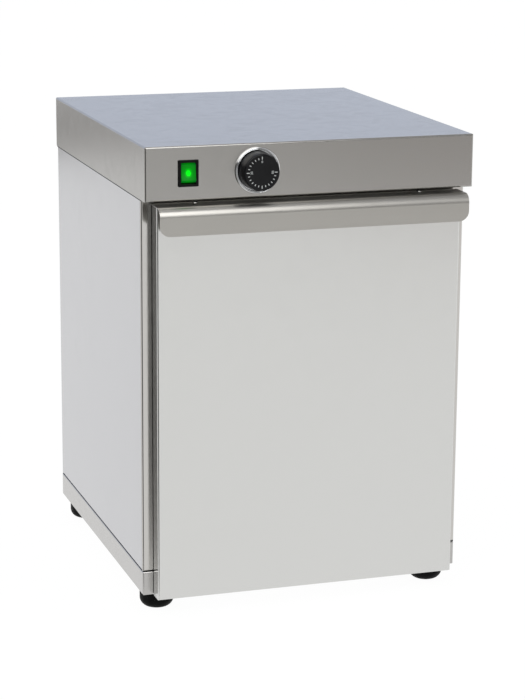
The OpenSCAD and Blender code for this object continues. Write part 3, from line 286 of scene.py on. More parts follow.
MATERIALS = {
    "stainless_outer": sheet_steel("stainless_outer", (0.37, 0.362, 0.345), UP, 0.2, 0.28, 0.03, 0.45,
                                   fineness=1400.0, cloud=2.2, bump_strength=0.02),
    "stainless_side": sheet_steel("stainless_side", (0.5, 0.5, 0.515), UP, 0.2, 0.25, 0.01, 0.6,
                                  fineness=1400.0, bump_strength=0.01),
    "stainless_frame": sheet_steel("stainless_frame", (0.55, 0.536, 0.515), UP, 0.12, 0.18, 0.02, 0.6,
                                   fineness=1400.0, bump_strength=0.015),
    "stainless_plinth": sheet_steel("stainless_plinth", (0.47, 0.462, 0.45), ACROSS, 0.2, 0.28, 0.015, 0.6,
                                    fineness=1400.0, bump_strength=0.015),
    "stainless_liner": sheet_steel("stainless_liner", (0.5, 0.5, 0.49), BACK, 0.26, 0.38, 0.06, 0.5),
    "stainless_door": sheet_steel("stainless_door", (0.64, 0.64, 0.625), UP, 0.2, 0.24, 0.006, 0.6,
                                  fineness=1400.0, bump_strength=0.005),
    "stainless_handle": sheet_steel("stainless_handle", (0.44, 0.428, 0.4), ACROSS, 0.3, 0.36, 0.03, 0.5,
                                    fineness=1400.0, cloud=9.0, bump_strength=0.02),
    "galvanised_sheet": sheet_steel("galvanised_sheet", (0.45, 0.46, 0.47), EVEN, 0.35, 0.55, 0.14, 0.3,
                                    fineness=160.0, cloud=60.0),
    "element_sheath": sheet_steel("element_sheath", (0.17, 0.15, 0.13), BACK, 0.4, 0.6, 0.2, 0.5),
    "steel_pin": sheet_steel("steel_pin", (0.6, 0.6, 0.6), EVEN, 0.2, 0.3, 0.06),
    "zinc_fixings": sheet_steel("zinc_fixings", (0.58, 0.58, 0.55), EVEN, 0.28, 0.42, 0.1, fineness=500.0),
    "bright_screws": sheet_steel("bright_screws", (0.62, 0.62, 0.61), EVEN, 0.12, 0.22, 0.05),
    "chrome_ring": sheet_steel("chrome_ring", (0.8, 0.81, 0.82), EVEN, 0.04, 0.1, 0.03, bump_strength=0.01),
    "chrome_wire": sheet_steel("chrome_wire", (0.72, 0.73, 0.74), EVEN, 0.08, 0.18, 0.04, bump_strength=0.02),
    "copper_bulb": sheet_steel("copper_bulb", (0.6, 0.33, 0.2), BACK, 0.3, 0.45, 0.12),
    "mineral_wool": fibre("mineral_wool", (0.52, 0.45, 0.24), 260.0),
    "lead_sleeve": fibre("lead_sleeve", (0.68, 0.66, 0.6), 1500.0, 0.2, 0.4),
    "thermostat_ceramic": moulded("thermostat_ceramic", (0.7, 0.67, 0.6), 0.4, 0.55, 0.05),
    "terminal_ceramic": moulded("terminal_ceramic", (0.76, 0.74, 0.69), 0.18, 0.35, 0.04),
    "white_nylon": moulded("white_nylon", (0.74, 0.73, 0.68), 0.35, 0.5, 0.04),
    "black_plastic": moulded("black_plastic", (0.007, 0.007, 0.007), 0.24, 0.36, 0.3,
                             Specular_IOR_Level=0.08),
    "black_nylon": moulded("black_nylon", (0.02, 0.02, 0.021), 0.45, 0.6),
    "magnet_case": moulded("magnet_case", (0.028, 0.028, 0.03), 0.5, 0.65),
    "foot_rubber": moulded("foot_rubber", (0.004, 0.004, 0.004), 0.45, 0.65, 0.3, 900.0, 0.2,
                           Specular_IOR_Level=0.08),
    "silicone_gasket": moulded("silicone_gasket", (0.012, 0.012, 0.013), 0.5, 0.65, 0.2, 700.0, 0.15,
                               Specular_IOR_Level=0.2),
    "knob_black": moulded("knob_black", (0.007, 0.007, 0.008), 0.12, 0.2, 0.25, 1800.0, 0.03,
                          Specular_IOR_Level=0.18),
    "green_lens": green_lens("green_lens"),
}
DIAL_WHITE = moulded("dial_white", (0.72, 0.74, 0.72), 0.4, 0.5, 0.06)

for node, thing in frame["nodes"].items():
    thing.data.materials.clear()
    thing.data.materials.append(MATERIALS[slot_of[node]])


# ---------- Making pieces ----------

def hand_over(thing, name, node, replaces=True):
    """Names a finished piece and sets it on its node's body."""
    thing.name = name
    thing.data.name = name
    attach(thing, body_of_node[node])
    if replaces:
        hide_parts(node)


def new_object(name, data):
    """A new object, linked to the scene."""
    thing = bpy.data.objects.new(name, data)
    bpy.context.collection.objects.link(thing)
    return thing


def evaluated_mesh(thing):
    """An object as a new mesh, with its modifiers worked in."""
    graph = bpy.context.evaluated_depsgraph_get()
    return bpy.data.meshes.new_from_object(thing.evaluated_get(graph))


def mesh_of(bm, name, material=None):
    """A bmesh as a new mesh. The bmesh is freed."""
    mesh = bpy.data.meshes.new(name)
    bm.to_mesh(mesh)
    bm.free()
    if material:
        mesh.materials.append(material)
    return mesh


def merged(node):
    """A CAD node's mesh as a bmesh, with doubled points merged."""
    bm = bmesh.new()
    bm.from_mesh(frame["nodes"][node].data)
    bmesh.ops.remove_doubles(bm, verts=bm.verts, dist=0.01 * MM)
    return bm


def smooth(thing, angle):
    """Smooth faces, with edges sharper than the angle kept sharp."""
    thing.data.shade_smooth()
    bm = bmesh.new()
    bm.from_mesh(thing.data)
    for edge in bm.edges:
        edge.smooth = len(edge.link_faces) == 2 and edge.calc_face_angle() < math.radians(angle)
    bm.to_mesh(thing.data)
    bm.free()


def islands(node):
    """The box of each separate solid in a CAD node, as (low, high) pairs in order of place."""
    bm = merged(node)
    left, found = set(bm.verts), []
    while left:
        stack, group = [left.pop()], []
        while stack:
            v = stack.pop()
            group.append(v.co.copy())
            for e in v.link_edges:
                other = e.other_vert(v)
                if other in left:
                    left.remove(other)
                    stack.append(other)
        found.append((Vector(map(min, zip(*group))), Vector(map(max, zip(*group)))))
    bm.free()
    return sorted(found, key=lambda b: tuple(round(c, 4) for c in b[0]))


def geometry_tree(name, inputs):
    """An empty Geometry Nodes tree with named inputs, ending in Realize Instances and Set Material."""
    inputs = [("Geometry", "Geometry", None), *inputs, ("Finish", "Material", None)]
    tree, g, o = new_group(name, inputs, [("Geometry", "Geometry")], "GeometryNodeTree")
    tree.is_modifier = True
    realize = tree.nodes.new("GeometryNodeRealizeInstances")
    finish = put(tree, "GeometryNodeSetMaterial", {"Geometry": realize.outputs[0], "Material": g["Finish"]})
    tree.links.new(finish.outputs[0], o.inputs[0])
    return tree, g, realize.inputs[0]


def instances(tree, points, thing, **values):
    """Copies of a geometry on points."""
    values = {"Points": points, "Instance": thing, **values}
    return put(tree, "GeometryNodeInstanceOnPoints", values).outputs[0]


def both(tree, kind, socket, *geometries):
    """A node whose one socket takes several geometries."""
    node = tree.nodes.new(kind)
    for geometry in geometries:
        tree.links.new(geometry, node.inputs[socket])
    return node


def moved(tree, geometry, **parts):
    """A geometry moved by its x, y and z."""
    place = xyz(tree, **parts)
    return put(tree, "GeometryNodeTransform", {"Geometry": geometry, "Translation": place}).outputs[0]


def cylinder(tree, vertices, radius, depth):
    """An upright cylinder round the origin."""
    values = {"Vertices": vertices, "Radius": radius, "Depth": depth}
    return put(tree, "GeometryNodeMeshCylinder", values).outputs[0]


def grow(tree, start, values):
    """Runs a Geometry Nodes tree on a start mesh and returns the result as a plain mesh object."""
    thing = new_object("growing", start)
    modifier = thing.modifiers.new("grow", "NODES")
    modifier.node_group = tree
    sockets = {s.name: s.identifier for s in tree.interface.items_tree
               if s.item_type == "SOCKET" and s.in_out == "INPUT"}
    for label, value in values.items():
        modifier[sockets[label]] = value
    mesh = evaluated_mesh(thing)
    thing.modifiers.remove(modifier)
    thing.data = mesh
    return thing


def points_mesh(points):
    """A mesh of loose points for a tree to start from."""
    mesh = bpy.data.meshes.new("points")
    mesh.from_pydata([tuple(p) for p in points], [], [])
    return mesh


def join(name, meshes, material):
    """One object from several meshes."""
    bm = bmesh.new()
    for mesh in meshes:
        bm.from_mesh(mesh)
    return new_object(name, mesh_of(bm, name, material))


def lathe(name, profile, centre, axis, material, segments=96):
    """Turns a profile of (radius, height) points round an axis through the centre."""
    bm = bmesh.new()
    rows = []
    for r, h in profile:
        if r < 1e-7:
            rows.append([bm.verts.new((0, 0, h))])
        else:
            rows.append([bm.verts.new((r * math.cos(a), r * math.sin(a), h))
                         for a in (2 * math.pi * k / segments for k in range(segments))])
    for low, high in zip(rows, rows[1:]):
        for k in range(segments):
            n = (k + 1) % segments
            corners = [low[k % len(low)], low[n % len(low)], high[n % len(high)], high[k % len(high)]]
            unique = list(dict.fromkeys(corners))
            if len(unique) > 2:
                bm.faces.new(unique)
    bmesh.ops.recalc_face_normals(bm, faces=bm.faces)
    turn = UPWARD.rotation_difference(axis).to_matrix().to_4x4()
    bm.transform(Matrix.Translation(centre) @ turn)
    thing = new_object(name, mesh_of(bm, name, material))
    smooth(thing, 35)
    return thing


def arc(centre, r, start, end, steps):
    """Points on an arc of a profile, in degrees."""
    return [(centre[0] + r * math.cos(math.radians(start + (end - start) * k / steps)),
             centre[1] + r * math.sin(math.radians(start + (end - start) * k / steps)))
            for k in range(steps + 1)]


# ---------- Dial on the knob ----------

knob_low, knob_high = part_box("thermostat_knob")
knob_at = pivot["knob_turn"]
TICK_RING = 16.1 * MM
TICK_COUNT, TICK_STEP = 19, 15
NUMBER_RING, NUMBER_HEIGHT = 12.3 * MM, 2.6 * MM
PRINT_RISE = 0.02 * MM


def tick_tree():
    """Short printed bars round part of a circle, each sixth one longer, on the XZ plane facing -Y."""
    tree, g, result = geometry_tree("dial_ticks", [
        ("Count", "Int", TICK_COUNT), ("Step", "Float", math.radians(TICK_STEP)),
        ("Ring", "Float", TICK_RING), ("Width", "Float", 0.85 * MM), ("Length", "Float", 2.2 * MM),
        ("Extra", "Float", 1.2 * MM),
        ("Thickness", "Float", 0.06 * MM), ("Centre", "Vector", (0, 0, 0))])
    line = put(tree, "GeometryNodeMeshLine", {"Count": g["Count"]}).outputs[0]
    index = tree.nodes.new("GeometryNodeInputIndex").outputs[0]
    angle = maths(tree, "MULTIPLY", index, g["Step"])
    sixth = maths(tree, "COMPARE", maths(tree, "MODULO", index, 6.0), 0.0)
    extra = maths(tree, "MULTIPLY", sixth, g["Extra"])
    radius = maths(tree, "ADD", g["Ring"], maths(tree, "MULTIPLY", extra, 0.5))
    x = maths(tree, "MULTIPLY", maths(tree, "MULTIPLY", maths(tree, "SINE", angle), radius), -1.0)
    z = maths(tree, "MULTIPLY", maths(tree, "COSINE", angle), radius)
    place = put(tree, "ShaderNodeVectorMath", {0: xyz(tree, x=x, z=z), 1: g["Centre"]}, operation="ADD")
    put_down = put(tree, "GeometryNodeSetPosition", {"Geometry": line, "Position": place.outputs[0]})
    bar_size = xyz(tree, x=g["Width"], y=g["Thickness"], z=g["Length"])
    bar = put(tree, "GeometryNodeMeshCube", {"Size": bar_size}).outputs[0]
    stretch = maths(tree, "ADD", maths(tree, "DIVIDE", extra, g["Length"]), 1.0)
    copies = instances(tree, put_down.outputs[0], bar,
                       Rotation=xyz(tree, y=maths(tree, "MULTIPLY", angle, -1.0)),
                       Scale=xyz(tree, x=1.0, y=1.0, z=stretch))
    tree.links.new(copies, result)
    return tree


def dial_number(text, angle):
    """One number of the dial as a thin mesh, its top towards the rim, turned from the top to the left."""
    curve = bpy.data.curves.new("dial_" + text, "FONT")
    curve.body = text
    curve.size = NUMBER_HEIGHT * 1.45
    curve.align_x, curve.align_y = "CENTER", "CENTER"
    curve.extrude = 0.03 * MM
    curve.offset = 0.02 * MM
    curve.resolution_u = 4
    thing = new_object("dial_" + text, curve)
    mesh = evaluated_mesh(thing)
    bpy.data.objects.remove(thing)
    stand = Matrix.Rotation(math.radians(90), 4, "X")
    turn = Matrix.Rotation(math.radians(-angle), 4, "Y")
    centre = Vector((knob_at.x, knob_low.y + PRINT_RISE / 2, knob_at.z))
    mesh.transform(Matrix.Translation(centre + turn @ (UPWARD * NUMBER_RING)) @ turn @ stand)
    return mesh


ticks = grow(tick_tree(), points_mesh([(0, 0, 0)]),
             {"Centre": (knob_at.x, knob_low.y + PRINT_RISE, knob_at.z), "Finish": DIAL_WHITE})
hand_over(ticks, "dial_ticks", "thermostat_knob", replaces=False)

numbers = join("dial_numbers", [dial_number("0", 0), dial_number("30", 90), dial_number("90", 270)],
               DIAL_WHITE)
hand_over(numbers, "dial_numbers", "thermostat_knob", replaces=False)


# ---------- Small fixings ----------

def screw_tree():
    """Pan-head screws on points: a domed head with a cross recess and a shank, each spun at random."""
    tree, g, result = geometry_tree("pan_screws", [
        ("Head Radius", "Float", 3.8 * MM), ("Head Height", "Float", 2.4 * MM), ("Dome", "Float", 1.6),
        ("Recess", "Float", 0.62), ("Recess Width", "Float", 0.24), ("Shank Radius", "Float", 2 * MM),
        ("Shank Length", "Float", 9 * MM), ("Facing", "Vector", (0, 0, 0)),
        ("Spin Axis", "Vector", (0, 0, 1)), ("Seed", "Int", 3)])
    height = g["Head Height"]
    drum = moved(tree, cylinder(tree, 48, g["Head Radius"], height), z=maths(tree, "MULTIPLY", height, 0.5))
    ball_r = maths(tree, "MULTIPLY", g["Head Radius"], g["Dome"])
    ball = put(tree, "GeometryNodeMeshUVSphere", {"Segments": 48, "Rings": 36, "Radius": ball_r}).outputs[0]
    ball = moved(tree, ball, z=maths(tree, "SUBTRACT", height, ball_r))
    dome = both(tree, "GeometryNodeMeshBoolean", "Mesh 2", drum, ball)
    dome.operation = "INTERSECT"
    long = maths(tree, "MULTIPLY", maths(tree, "MULTIPLY", g["Head Radius"], 2.0), g["Recess"])
    wide = maths(tree, "MULTIPLY", g["Head Radius"], g["Recess Width"])
    cut = put(tree, "GeometryNodeMeshBoolean", {"Mesh 1": dome.outputs[0]}, operation="DIFFERENCE")
    for x, y in ((long, wide), (wide, long)):
        arm = put(tree, "GeometryNodeMeshCube", {"Size": xyz(tree, x=x, y=y, z=height)}).outputs[0]
        arm = moved(tree, arm, z=maths(tree, "MULTIPLY", height, 0.95))
        tree.links.new(arm, cut.inputs["Mesh 2"])
    shank = cylinder(tree, 24, g["Shank Radius"], g["Shank Length"])
    shank = moved(tree, shank, z=maths(tree, "MULTIPLY", g["Shank Length"], -0.5))
    whole = both(tree, "GeometryNodeJoinGeometry", 0, cut.outputs[0], shank).outputs[0]
    spin = put(tree, "FunctionNodeRandomValue", {2: 0.0, 3: 2 * math.pi, "Seed": g["Seed"]},
               data_type="FLOAT")
    turned = put(tree, "ShaderNodeVectorMath", {0: g["Spin Axis"], "Scale": spin.outputs[1]},
                 operation="SCALE")
    rotation = put(tree, "ShaderNodeVectorMath", {0: g["Facing"], 1: turned.outputs[0]}, operation="ADD")
    tree.links.new(instances(tree, g["Geometry"], whole, Rotation=rotation.outputs[0]), result)
    return tree


SCREWS = screw_tree()
FACINGS = {   # the way a head looks, its rotation, and the axis that it spins round
    "+Y": (BACKWARD, (-math.pi / 2, 0, 0), (0, 1, 0)),
    "-Y": (FORWARD, (math.pi / 2, 0, 0), (0, 1, 0)),
    "+Z": (UPWARD, (0, 0, 0), (0, 0, 1))}


def screws(node, facing, head_height, shank_radius, seed):
    """New screws where a CAD node has them. Their heads look along the facing axis."""
    out, euler, axis = FACINGS[facing]
    boxes = islands(node)
    seats = [(low + high) / 2 + out * (abs((high - low).dot(out)) / 2 - head_height) for low, high in boxes]
    low, high = boxes[0]
    thing = grow(SCREWS, points_mesh(seats), {
        "Head Radius": (high.x - low.x) / 2, "Head Height": head_height, "Shank Radius": shank_radius,
        "Shank Length": abs((high - low).dot(out)) - head_height, "Facing": euler, "Spin Axis": axis,
        "Seed": seed, "Finish": MATERIALS[slot_of[node]]})
    smooth(thing, 30)
    hand_over(thing, node + "_turned", node)


screws("cover_screws", "+Y", 2.4 * MM, 2.0 * MM, 1)
screws("back_screws", "+Y", 2.4 * MM, 2.0 * MM, 2)
screws("handle_screws", "+Z", 2.0 * MM, 1.7 * MM, 3)
screws("inner_panel_screws", "+Y", 1.3 * MM, 1.7 * MM, 4)
screws("thermostat_screws", "-Y", 2.0 * MM, 2.0 * MM, 5)


# ---------- Wire shelves ----------

RIM_WIRE = 5 * MM


def shelf_tree():
    """A wire shelf: filleted rim, wires from front to back, two bearers, and a weld at each crossing."""
    tree, g, result = geometry_tree("wire_shelf", [
        ("Width", "Float", None), ("Depth", "Float", None), ("Corner", "Float", 14 * MM),
        ("Rim", "Float", RIM_WIRE), ("Wire", "Float", 3 * MM), ("Count", "Int", 15),
        ("Sink", "Float", 0.4 * MM), ("Weld", "Float", 1.25), ("Centre", "Vector", (0, 0, 0))])
    half_rim = maths(tree, "MULTIPLY", g["Rim"], 0.5)
    half_wire = maths(tree, "MULTIPLY", g["Wire"], 0.5)
    outline = put(tree, "GeometryNodeCurvePrimitiveQuadrilateral",
                  {"Width": g["Width"], "Height": g["Depth"]})
    bent = put(tree, "GeometryNodeFilletCurve",
               {"Curve": outline.outputs[0], "Radius": g["Corner"], "Count": 12}, mode="POLY")
    round_bar = put(tree, "GeometryNodeCurvePrimitiveCircle", {"Resolution": 20, "Radius": half_rim})
    rim = put(tree, "GeometryNodeCurveToMesh",
              {"Curve": bent.outputs[0], "Profile Curve": round_bar.outputs[0]})
    pitch = maths(tree, "DIVIDE", g["Width"], maths(tree, "ADD", g["Count"], 1.0))
    span = maths(tree, "MULTIPLY", pitch, maths(tree, "SUBTRACT", g["Count"], 1.0))
    wire_z = maths(tree, "SUBTRACT", maths(tree, "ADD", half_rim, half_wire), g["Sink"])
    row = put(tree, "GeometryNodeMeshLine",
              {"Count": g["Count"], "Offset": xyz(tree, x=pitch),
               "Start Location": xyz(tree, x=maths(tree, "MULTIPLY", span, -0.5), z=wire_z)}).outputs[0]
    wires = instances(tree, row, cylinder(tree, 16, half_wire, g["Depth"]), Rotation=(math.pi / 2, 0, 0))
    bearer_z = maths(tree, "SUBTRACT", g["Sink"], maths(tree, "SUBTRACT", half_rim, half_wire))
    bearer_z = maths(tree, "SUBTRACT", bearer_z, 0.2 * MM)
    third = maths(tree, "DIVIDE", g["Depth"], 3.0)
    pair = put(tree, "GeometryNodeMeshLine",
               {"Count": 2, "Offset": xyz(tree, y=third),
                "Start Location": xyz(tree, y=maths(tree, "MULTIPLY", third, -0.5), z=bearer_z)}).outputs[0]
    bearers = instances(tree, pair, cylinder(tree, 16, half_wire, g["Width"]), Rotation=(0, math.pi / 2, 0))
    crossings = put(tree, "GeometryNodeMeshGrid", {"Size X": span, "Size Y": g["Depth"],
                                                   "Vertices X": g["Count"], "Vertices Y": 4})
    crossings = moved(tree, crossings.outputs[0], z=maths(tree, "SUBTRACT", wire_z, half_wire))
    bead = put(tree, "GeometryNodeMeshIcoSphere", {"Radius": maths(tree, "MULTIPLY", half_wire, g["Weld"]),
                                                   "Subdivisions": 3}).outputs[0]
    beads = instances(tree, crossings, bead, Scale=(1.15, 1.0, 0.5))
    shelf = both(tree, "GeometryNodeJoinGeometry", 0, rim.outputs[0], wires, bearers, beads).outputs[0]
    placed = put(tree, "GeometryNodeTransform", {"Geometry": shelf, "Translation": g["Centre"]})
    tree.links.new(placed.outputs[0], result)
    return tree


SHELF = shelf_tree()


def wire_shelf(node):
    """A shelf with all its wires, in the place of the CAD one."""
    low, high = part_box(node)
    shelf = grow(SHELF, points_mesh([(0, 0, 0)]), {
        "Width": high.x - low.x - RIM_WIRE, "Depth": high.y - low.y - RIM_WIRE,
        "Centre": ((low.x + high.x) / 2, (low.y + high.y) / 2, low.z + RIM_WIRE / 2),
        "Finish": MATERIALS["chrome_wire"]})
    smooth(shelf, 40)
    hand_over(shelf, node + "_wires", node)


wire_shelf("lower_shelf")
wire_shelf("upper_shelf")


# ---------- Gasket, and black beads that paint seam shadows ---

def rounded_loop(low, high, r, across, upward, base, steps=8):
    """Points round a rectangle with round corners in the plane of two directions, with their outward ways."""
    corners = [(high[0] - r, high[1] - r, 0), (low[0] + r, high[1] - r, 90), (low[0] + r, low[1] + r, 180),
               (high[0] - r, low[1] + r, 270)]
    found = []
    for u, v, start in corners:
        for k in range(steps + 1):
            a = math.radians(start + 90 * k / steps)
            out = math.cos(a) * across + math.sin(a) * upward
            found.append((base + u * across + v * upward + r * out, out))
    return found


def sweep_loop(name, loop, section, along, material):
    """A closed strip: each section point is (outward, along the given direction) from the loop."""
    bm = bmesh.new()
    rings = [[bm.verts.new(p + out * a + along * b) for a, b in section] for p, out in loop]
    for k, ring in enumerate(rings):
        after = rings[(k + 1) % len(rings)]
        for i in range(len(section)):
            n = (i + 1) % len(section)
            bm.faces.new((ring[i], ring[n], after[n], after[i]))
    bmesh.ops.recalc_face_normals(bm, faces=bm.faces)
    thing = new_object(name, mesh_of(bm, name, material))
    smooth(thing, 40)
    return thing


GASKET_W, GASKET_CORNER_R = 6 * MM, 5 * MM
LIP_R, LIP_OFFSET, LIP_NOTCH = 0.62 * MM, 1.65 * MM, 0.4 * MM


def door_gasket():
    """The gasket round the door: a flat base with two lips."""
    low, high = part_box("door_gasket")
    thick, half = high.y - low.y, GASKET_W / 2
    loop = rounded_loop((low.x + half, low.z + half), (high.x - half, high.z - half), GASKET_CORNER_R, RIGHT,
                        UPWARD, Vector((0, low.y, 0)), 10)
    lip = [(LIP_R * math.cos(math.radians(a)), thick * (0.55 + 0.44 * math.sin(math.radians(a))))
           for a in range(-20, 201, 20)]
    side, shoulder, valley = thick * 0.34, thick * 0.45, thick * 0.36
    section = [(-half, 0), (half, 0), (half, side), (half - LIP_NOTCH, shoulder)]
    section += [(p + LIP_OFFSET, q) for p, q in lip] + [(0, valley)]
    section += [(p - LIP_OFFSET, q) for p, q in lip] + [(-half + LIP_NOTCH, shoulder), (-half, side)]
    gasket = sweep_loop("gasket_double_lip", loop, section, BACKWARD, MATERIALS["silicone_gasket"])
    hand_over(gasket, "gasket_double_lip", "door_gasket")


# Sizes of the black beads that paint shadow lines at the seams.
SHADOW_BEAD_CORNER_R, SHADOW_BEAD_ROOT = 1.2 * MM, 0.5 * MM
COVER_BEAD_DROP, COVER_BEAD_H = 1.75 * MM, 1.7 * MM
side_low, side_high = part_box("left_side_panel")
front_low, front_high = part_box("front_frame")
plinth_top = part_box("base_pan")[1].z
cover_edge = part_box("top_cover")[0].z


def shadow_line_bead(name, z, height, inset, bulge):
    """A thin black bead round the body, its round face outwards, that paints the dark shadow line of a seam.
    """
    near = (-front_high.x + inset, front_low.y + inset)
    far = (front_high.x - inset, side_high.y - inset)
    loop = rounded_loop(near, far, SHADOW_BEAD_CORNER_R, RIGHT, BACKWARD, Vector((0, 0, z)))
    bow = [math.radians(a) for a in range(-90, 91, 30)]
    section = [(-SHADOW_BEAD_ROOT, 0)] + [(bulge * math.cos(a), height * (0.5 + 0.5 * math.sin(a))) for a in bow]
    section.append((-SHADOW_BEAD_ROOT, height))
    # The gasket's black finish here paints a shadow line; the bead is not a real seal.
    bead = sweep_loop(name, loop, section, UPWARD, MATERIALS["silicone_gasket"])
    hand_over(bead, name, "left_side_panel", replaces=False)


door_gasket()
# Black bead in the plinth seam: painted shadow of the seam's gap.
shadow_line_bead("plinth_seam_shadow_bead", plinth_top, side_low.z - plinth_top, 0.35 * MM, 0.2 * MM)
# Black bead under the cover's edge: painted shadow cast by the cover's skirt.
shadow_line_bead("cover_edge_shadow_bead", cover_edge - COVER_BEAD_DROP, COVER_BEAD_H, 0.0, 0.8 * MM)


# ---------- Turned pieces ----------

FOOT_BOWL_R, FOOT_WELL_R, FOOT_WELL_H, FOOT_WELL_EDGE = 11 * MM, 6.9 * MM, 16 * MM, 0.5 * MM
FOOT_BORE_R, FOOT_EDGE, FOOT_BEVEL = 3.2 * MM, 1.2 * MM, 0.3 * MM
GROOVE_DROP, GROOVE_W, GROOVE_D, GROOVE_SLANT = 3.6 * MM, 1.6 * MM, 0.5 * MM, 0.4 * MM


def rubber_foot(node):
    """A bowl with a round top edge, a groove round its side and a well for its screw."""
    low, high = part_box(node)
    r, h = (high.x - low.x) / 2, high.z
    groove, groove_r = h - GROOVE_DROP, r - GROOVE_D
    profile = [(FOOT_BORE_R, h), (r - FOOT_EDGE, h), (r - FOOT_BEVEL, h - FOOT_BEVEL), (r, h - FOOT_EDGE),
               (r, groove), (groove_r, groove - GROOVE_SLANT), (groove_r, groove - GROOVE_W + GROOVE_SLANT),
               (r, groove - GROOVE_W)]
    profile += arc((r - FOOT_BOWL_R, FOOT_BOWL_R), FOOT_BOWL_R, 0, -90, 14)
    profile += [(FOOT_WELL_R + FOOT_WELL_EDGE, 0), (FOOT_WELL_R, FOOT_WELL_EDGE), (FOOT_WELL_R, FOOT_WELL_H),
                (FOOT_BORE_R, FOOT_WELL_H), (FOOT_BORE_R, h)]
    centre = Vector(((low.x + high.x) / 2, (low.y + high.y) / 2, 0))
    foot = lathe(node + "_rubber", profile, centre, UPWARD, MATERIALS["foot_rubber"])
    hand_over(foot, node + "_rubber", node)


KNOB_TAPER, KNOB_EDGE_R, KNOB_CHAMFER = 1.5 * MM, 2 * MM, 0.4 * MM
KNOB_FACE_T, KNOB_RIM_W, KNOB_WALL = 3 * MM, 1.8 * MM, 4 * MM
BOSS_R, SHAFT_R, SHAFT_STOP = 6 * MM, 3.05 * MM, 4 * MM


def knob_barrel():
    """A tapered barrel with a soft front edge, hollow behind its face round a boss for the shaft."""
    rb, top, base = (knob_high.x - knob_low.x) / 2, knob_at.y - knob_low.y, knob_at.y - knob_high.y
    rf, face_back, stop = rb - KNOB_TAPER, top - KNOB_FACE_T, top - SHAFT_STOP
    profile = [(0, top), (rf - KNOB_EDGE_R, top)]
    profile += arc((rf - KNOB_EDGE_R, top - KNOB_EDGE_R), KNOB_EDGE_R, 90, 7, 8)
    profile += [(rb - 0.1 * MM, base + 3 * MM), (rb, base + 2 * MM), (rb, base + KNOB_CHAMFER),
                (rb - KNOB_CHAMFER, base), (rb - KNOB_RIM_W, base), (rf - 3 * MM, base + 1.2 * MM),
                (rf - KNOB_WALL, face_back), (BOSS_R, face_back), (BOSS_R, base), (SHAFT_R, base),
                (SHAFT_R, stop), (0, stop)]
    knob = lathe("knob_barrel", profile, knob_at, FORWARD, MATERIALS["knob_black"], 128)
    hand_over(knob, "knob_barrel", "thermostat_knob")


RING_HOLE_R, RING_T, RING_SLOPE = 5 * MM, 1 * MM, 0.4 * MM
OUTER_BEAD_R, INNER_BEAD_R, INNER_BEAD_DROP = 0.85 * MM, 0.65 * MM, 0.45 * MM


def rolled_ring():
    """The bright ring behind the knob: a flat disc with a high outer bead and a lower inner one."""
    low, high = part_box("knob_ring")
    r, h = (high.x - low.x) / 2, high.y - low.y
    profile = [(RING_HOLE_R, 0), (r, 0), (r, 0.5 * MM), (r - RING_SLOPE, 1.6 * MM)]
    profile += arc((r - RING_SLOPE - OUTER_BEAD_R, h - OUTER_BEAD_R), OUTER_BEAD_R, 10, 150, 12)
    profile += arc((r - 2.45 * MM, h - INNER_BEAD_DROP - INNER_BEAD_R), INNER_BEAD_R, 50, 180, 10)
    profile += [(r - 3.2 * MM, 1.4 * MM), (r - 3.5 * MM, RING_T), (RING_HOLE_R, RING_T), (RING_HOLE_R, 0)]
    ring = lathe("rolled_ring", profile, knob_at, FORWARD, MATERIALS["chrome_ring"], 160)
    hand_over(ring, "rolled_ring", "knob_ring")


for node in ("foot_front_left", "foot_front_right", "foot_rear_left", "foot_rear_right"):
    rubber_foot(node)
knob_barrel()
rolled_ring()


# ---------- Cable gland ----------

def gland_tree():
    """Adds grip ribs round the gland's cap, which is the start mesh. The cap's axis is +Y."""
    tree, g, result = geometry_tree("gland_ribs", [
        ("Count", "Int", 20), ("Ring", "Float", 8.6 * MM), ("Rib Width", "Float", 1.0 * MM),
        ("Rib Height", "Float", 0.8 * MM), ("Rib Length", "Float", 5.5 * MM),
        ("Centre", "Vector", (0, 0, 0))])
    circle = put(tree, "GeometryNodeMeshCircle", {"Vertices": g["Count"], "Radius": g["Ring"]}).outputs[0]
    size = xyz(tree, x=g["Rib Height"], y=g["Rib Width"], z=g["Rib Length"])
    rib = put(tree, "GeometryNodeMeshCube", {"Size": size}).outputs[0]
    index = tree.nodes.new("GeometryNodeInputIndex").outputs[0]
    angle = maths(tree, "DIVIDE", maths(tree, "MULTIPLY", index, 2 * math.pi), g["Count"])
    ribs = instances(tree, circle, rib, Rotation=xyz(tree, z=angle))
    ribs = put(tree, "GeometryNodeRealizeInstances", {0: ribs}).outputs[0]
    laid = put(tree, "GeometryNodeTransform", {"Geometry": ribs, "Rotation": (-math.pi / 2, 0, 0),
                                               "Translation": g["Centre"]}).outputs[0]
    whole = both(tree, "GeometryNodeJoinGeometry", 0, g["Geometry"], laid)
    tree.links.new(whole.outputs[0], result)
    return tree


CABLE_R, STEM_R, STEM_L = 4 * MM, 7.4 * MM, 10 * MM
THREAD_R, ROOT_R, PITCH, TURNS = 7.9 * MM, 7.3 * MM, 1.5 * MM, 6
HEX_L, HEX_BEVEL = 4 * MM, 0.5 * MM
CAP_R, CROWN_R, CROWN_H, RIBS_FROM_HEX = 8.7 * MM, 2.6 * MM, 3 * MM, 3.2 * MM


